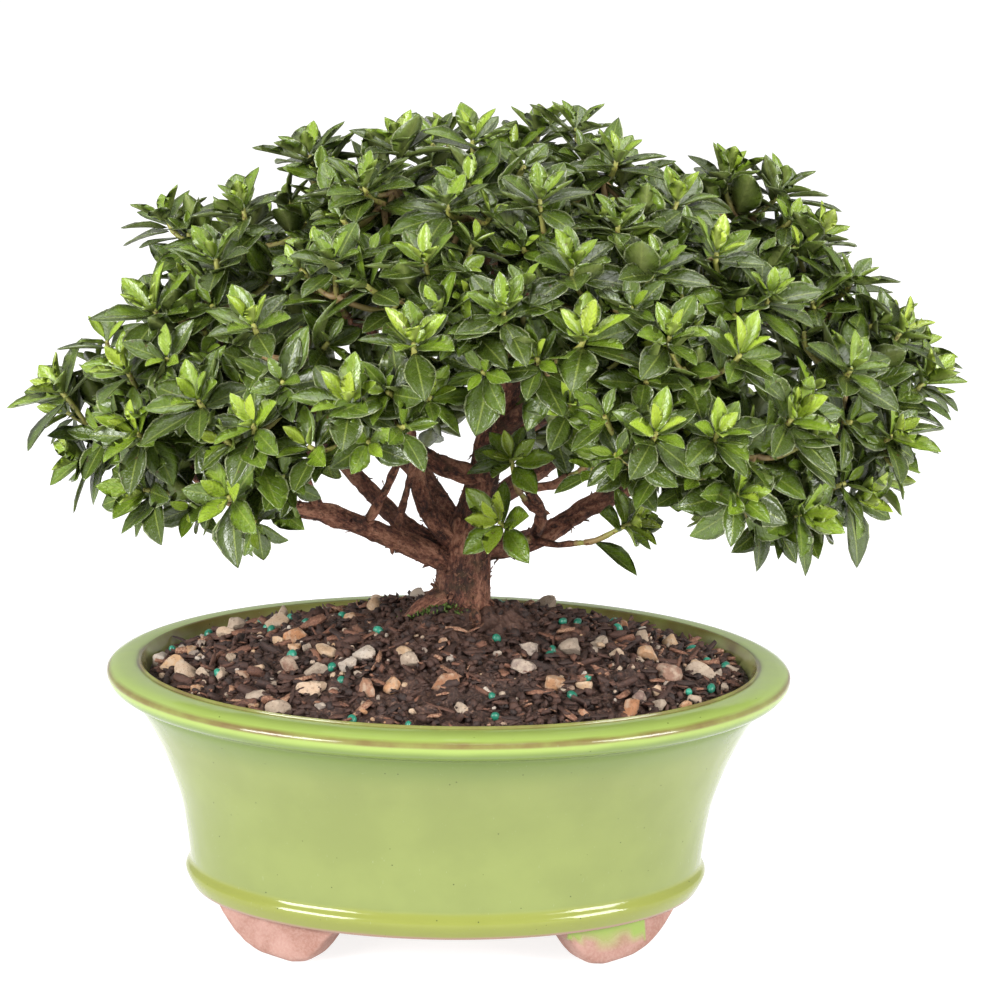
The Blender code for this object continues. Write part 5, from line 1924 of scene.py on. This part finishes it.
@dataclass(frozen=True)
class Twig:
    """Young shoots, green to tan, with rust-brown specks."""

    green: tuple = (0.27, 0.27, 0.055)
    tan: tuple = (0.26, 0.17, 0.07)
    rust: tuple = (0.11, 0.040, 0.015)

    def material(self) -> Material:
        """Build the node material.

        Returns:
            The material.
        """
        r = Recipe("young_shoot")
        colour = r.mix(r.span(r.mark("along"), 0.1, 0.8), self.tan, self.green)
        specks, own = r.cells(1.1)
        rust = r.times(r.span(specks, 0.38, 0.24), r.span(own, 0.4, 0.5))
        colour = r.mix(r.times(rust, 0.85), colour, self.rust)
        return r.finish(Base_Color=colour, Roughness=0.55, Normal=r.bump(r.noise(0.5, 3.0), 0.12))


@dataclass(frozen=True)
class Leaf:
    """A glossy azalea leaf: dark when old, yellow-green when young, paler at the midrib and below."""

    stops: tuple = ((0.0, (0.33, 0.42, 0.045)), (0.3, (0.23, 0.33, 0.026)), (0.58, (0.130, 0.205, 0.013)),
                    (0.82, (0.064, 0.105, 0.010)), (1.0, (0.041, 0.064, 0.008)))
    below: tuple = (0.17, 0.20, 0.055)
    rib: tuple = (0.24, 0.29, 0.06)
    # edge: the pale hairy margin, brightened as a painted highlight where the hairs catch the light.
    edge: tuple = (0.45, 0.50, 0.26)
    brown: tuple = (0.075, 0.028, 0.014)
    side_veins: float = 7.0

    def material(self) -> Material:
        """Build the node material.

        Returns:
            The material.
        """
        r = Recipe("azalea_leaf")
        along, tone = r.mark("along"), r.mark("tone")
        across = r.maths("ABSOLUTE", r.mark("across"))
        mottle = r.span(r.noise(2.6, 4.0), 0.3, 0.7, -0.07, 0.07)
        shade = r.plus(r.mark("age"), r.plus(mottle, r.maths("MULTIPLY_ADD", tone, 0.16, -0.08)))
        colour = r.ramp(shade, *self.stops)
        phase = r.maths("SUBTRACT", along, r.times(across, 0.32))
        wave = r.maths("ABSOLUTE", r.maths("SINE", r.times(phase, math.pi * self.side_veins)))
        veins = r.span(wave, 0.2, 0.02)
        colour = r.mix(r.times(veins, 0.22), colour, self.rib)
        colour = r.mix(r.span(across, 0.085, 0.02, 0.0, 0.5), colour, self.rib)
        # Pale margin: partly real hairs and partly a painted highlight.
        colour = r.mix(r.span(across, 0.87, 0.97, 0.0, 0.7), colour, self.edge)
        blotch = r.times(r.span(r.noise(1.9, 3.0), 0.66, 0.72), r.span(tone, 0.55, 0.7))
        colour = r.mix(r.times(blotch, 0.7), colour, self.brown)
        colour = r.mix(r.times(r.mark("under"), 0.72), colour, self.below)
        grain = r.plus(r.times(r.noise(0.55, 2.0), 0.6), r.times(r.noise(2.3, 2.0), 1.3))
        height = r.maths("MULTIPLY_ADD", veins, -0.5, grain)
        rough = r.span(r.noise(0.9, 3.0), 0.35, 0.68, 0.15, 0.40)
        rough = r.plus(rough, r.times(r.mark("under"), 0.3))
        return r.finish(Base_Color=colour, Roughness=rough, Normal=r.bump(height, 0.22),
                        Specular_IOR_Level=0.5, Coat_Weight=0.1, Coat_Roughness=0.15)


@dataclass
class Studio:
    """A white room: a pale floor, an even white sky, two soft boxes in front and one above."""

    eye: tuple = (-27.7, -1057.0, 382.2)
    aim: tuple = (14.2, 5.0, 129.1)
    roll: float = math.radians(1.2)
    lens: float = 132.84
    sky: float = 0.7
    # Half the floor's width in metres, its colour and its glow.
    floor_half: float = 40.0
    floor_grey: Colour = (0.36, 0.36, 0.36)
    floor_glow: float = 0.8
    # The middle of the plant above the table, and each soft box: its place from there, size and watts.
    middle: tuple = (0, 0, 120.0)
    boxes: tuple = (
        ("left_box", (-900, -860, 430), (620, 620), 27.0),
        ("right_box", (980, -700, 400), (520, 620), 20.0),
        ("overhead_box", (60, 120, 1050), (900, 700), 9.0),
    )

    def build_floor(self) -> Piece:
        """Make the floor, far wider than the view.

        Returns:
            The floor.
        """
        half = self.floor_half
        corners = [(-half, -half, 0), (half, -half, 0), (half, half, 0), (-half, half, 0)]
        mesh = bpy.data.meshes.new("floor")
        mesh.from_pydata(corners, [], [(0, 1, 2, 3)])
        floor = bpy.data.objects.new("floor", mesh)
        r = Recipe("white_sweep")
        mesh.materials.append(r.finish(Base_Color=self.floor_grey, Roughness=0.9, Emission_Color=(1, 1, 1),
                                       Emission_Strength=self.floor_glow))
        bpy.context.scene.collection.objects.link(floor)
        return floor

    def light(self, name: str, place: Array, target: Array, size: tuple[float, float], watts: float) -> None:
        """Hang a soft box. Sizes and places are in millimetres.

        Args:
            name: Its name.
            place: Where it hangs.
            target: What it faces.
            size: Its width and height.
            watts: Its power.
        """
        lamp = bpy.data.lights.new(name, "AREA")
        lamp.shape = "RECTANGLE"
        lamp.size, lamp.size_y = size[0] * MM, size[1] * MM
        lamp.energy = watts
        box = bpy.data.objects.new(name, lamp)
        box.location = Vector(place * MM)
        box.rotation_euler = Vector((target - place) * MM).to_track_quat("-Z", "Y").to_euler()
        bpy.context.scene.collection.objects.link(box)

    def build(self, place: Array) -> None:
        """Set up the sky, the lights and the camera.

        Args:
            place: Where the pot's centre lies in the frame, in metres.
        """
        scene = bpy.context.scene
        world = bpy.data.worlds.new("white_room")
        world.use_nodes = True
        ground = world.node_tree.nodes["Background"]
        ground.inputs["Color"].default_value = (1, 1, 1, 1)
        ground.inputs["Strength"].default_value = self.sky
        scene.world = world
        scene.view_settings.view_transform = "Standard"
        centre = place / MM + np.array(self.middle)
        for name, offset, size, watts in self.boxes:
            self.light(name, centre + offset, centre, size, watts)
        camera_data = bpy.data.cameras.new("front_view")
        camera_data.lens = self.lens
        camera_data.clip_start = 0.05
        camera = bpy.data.objects.new("front_view", camera_data)
        eye, aim = Vector(place + np.array(self.eye) * MM), Vector(place + np.array(self.aim) * MM)
        turn = (aim - eye).to_track_quat("-Z", "Y").to_matrix().to_4x4()
        camera.matrix_world = Matrix.Translation(eye) @ turn @ Matrix.Rotation(self.roll, 4, "Z")
        scene.collection.objects.link(camera)
        scene.camera = camera


def attach(piece: Piece, slot: str, *nodes: str) -> None:
    """Tie a piece to the frame's body and report it.

    Args:
        piece: The piece.
        slot: Not used.
        *nodes: The frame's nodes that it replaces.
    """
    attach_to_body(piece, BODY)
    if nodes:
        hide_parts(*nodes)
    LOG.info("%s: %d triangles", piece.name, len(piece.data.loops) - 2 * len(piece.data.polygons))


def main() -> None:
    """Build the whole scene on the frame."""
    logging.basicConfig(level=logging.INFO, format="%(message)s")
    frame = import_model()
    solid_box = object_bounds()
    low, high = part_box("pot")
    place = np.array([(low[0] + high[0]) / 2, (low[1] + high[1]) / 2, 0.0])

    pot = Pot()
    attach(pot.build_body(Glaze().material(), place), "glazed_pot", "pot")
    clay = Clay().material()
    for name, sides in (("foot_front_left", (-1, -1)), ("foot_front_right", (1, -1)),
                        ("foot_back_left", (-1, 1)), ("foot_back_right", (1, 1))):
        attach(pot.build_foot(name, sides, clay, place), "glazed_pot")

    ground = Ground(pot)
    litter = Litter(ground)
    attach(ground.build(Earth().material(), place), "soil", "soil")
    attach(litter.stones(Rock().material(), place), "soil")
    attach(litter.fragments(Chips().material(), place), "soil")
    attach(litter.feed(Prill().material(), place), "soil")
    attach(litter.moss_tufts(Moss().material(), place), "soil")

    canopy = Canopy()
    sprays = canopy.grow(Random(CANOPY_SEED))
    attach(Wood(sprays).build(Bark().material(), place), "bark", "trunk_and_branches")
    leaves = Foliage(canopy, sprays).build([Leaf().material(), Twig().material()], place)
    for index, piece in enumerate(leaves):
        attach(piece, "leaves", f"spray_{index + 1:02d}")

    plastic = Plastic().material()
    for name in ("drain_screen_left", "drain_screen_right"):
        frame["nodes"][name].data.materials.clear()
        frame["nodes"][name].data.materials.append(plastic)

    studio = Studio()
    studio.build_floor()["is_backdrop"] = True
    studio.build(place)

    boxes = {"cad": solid_box, "visual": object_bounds()}
    sizes = {name: [list(corner) for corner in box] for name, box in boxes.items()}


if __name__ == "__main__":
    main()
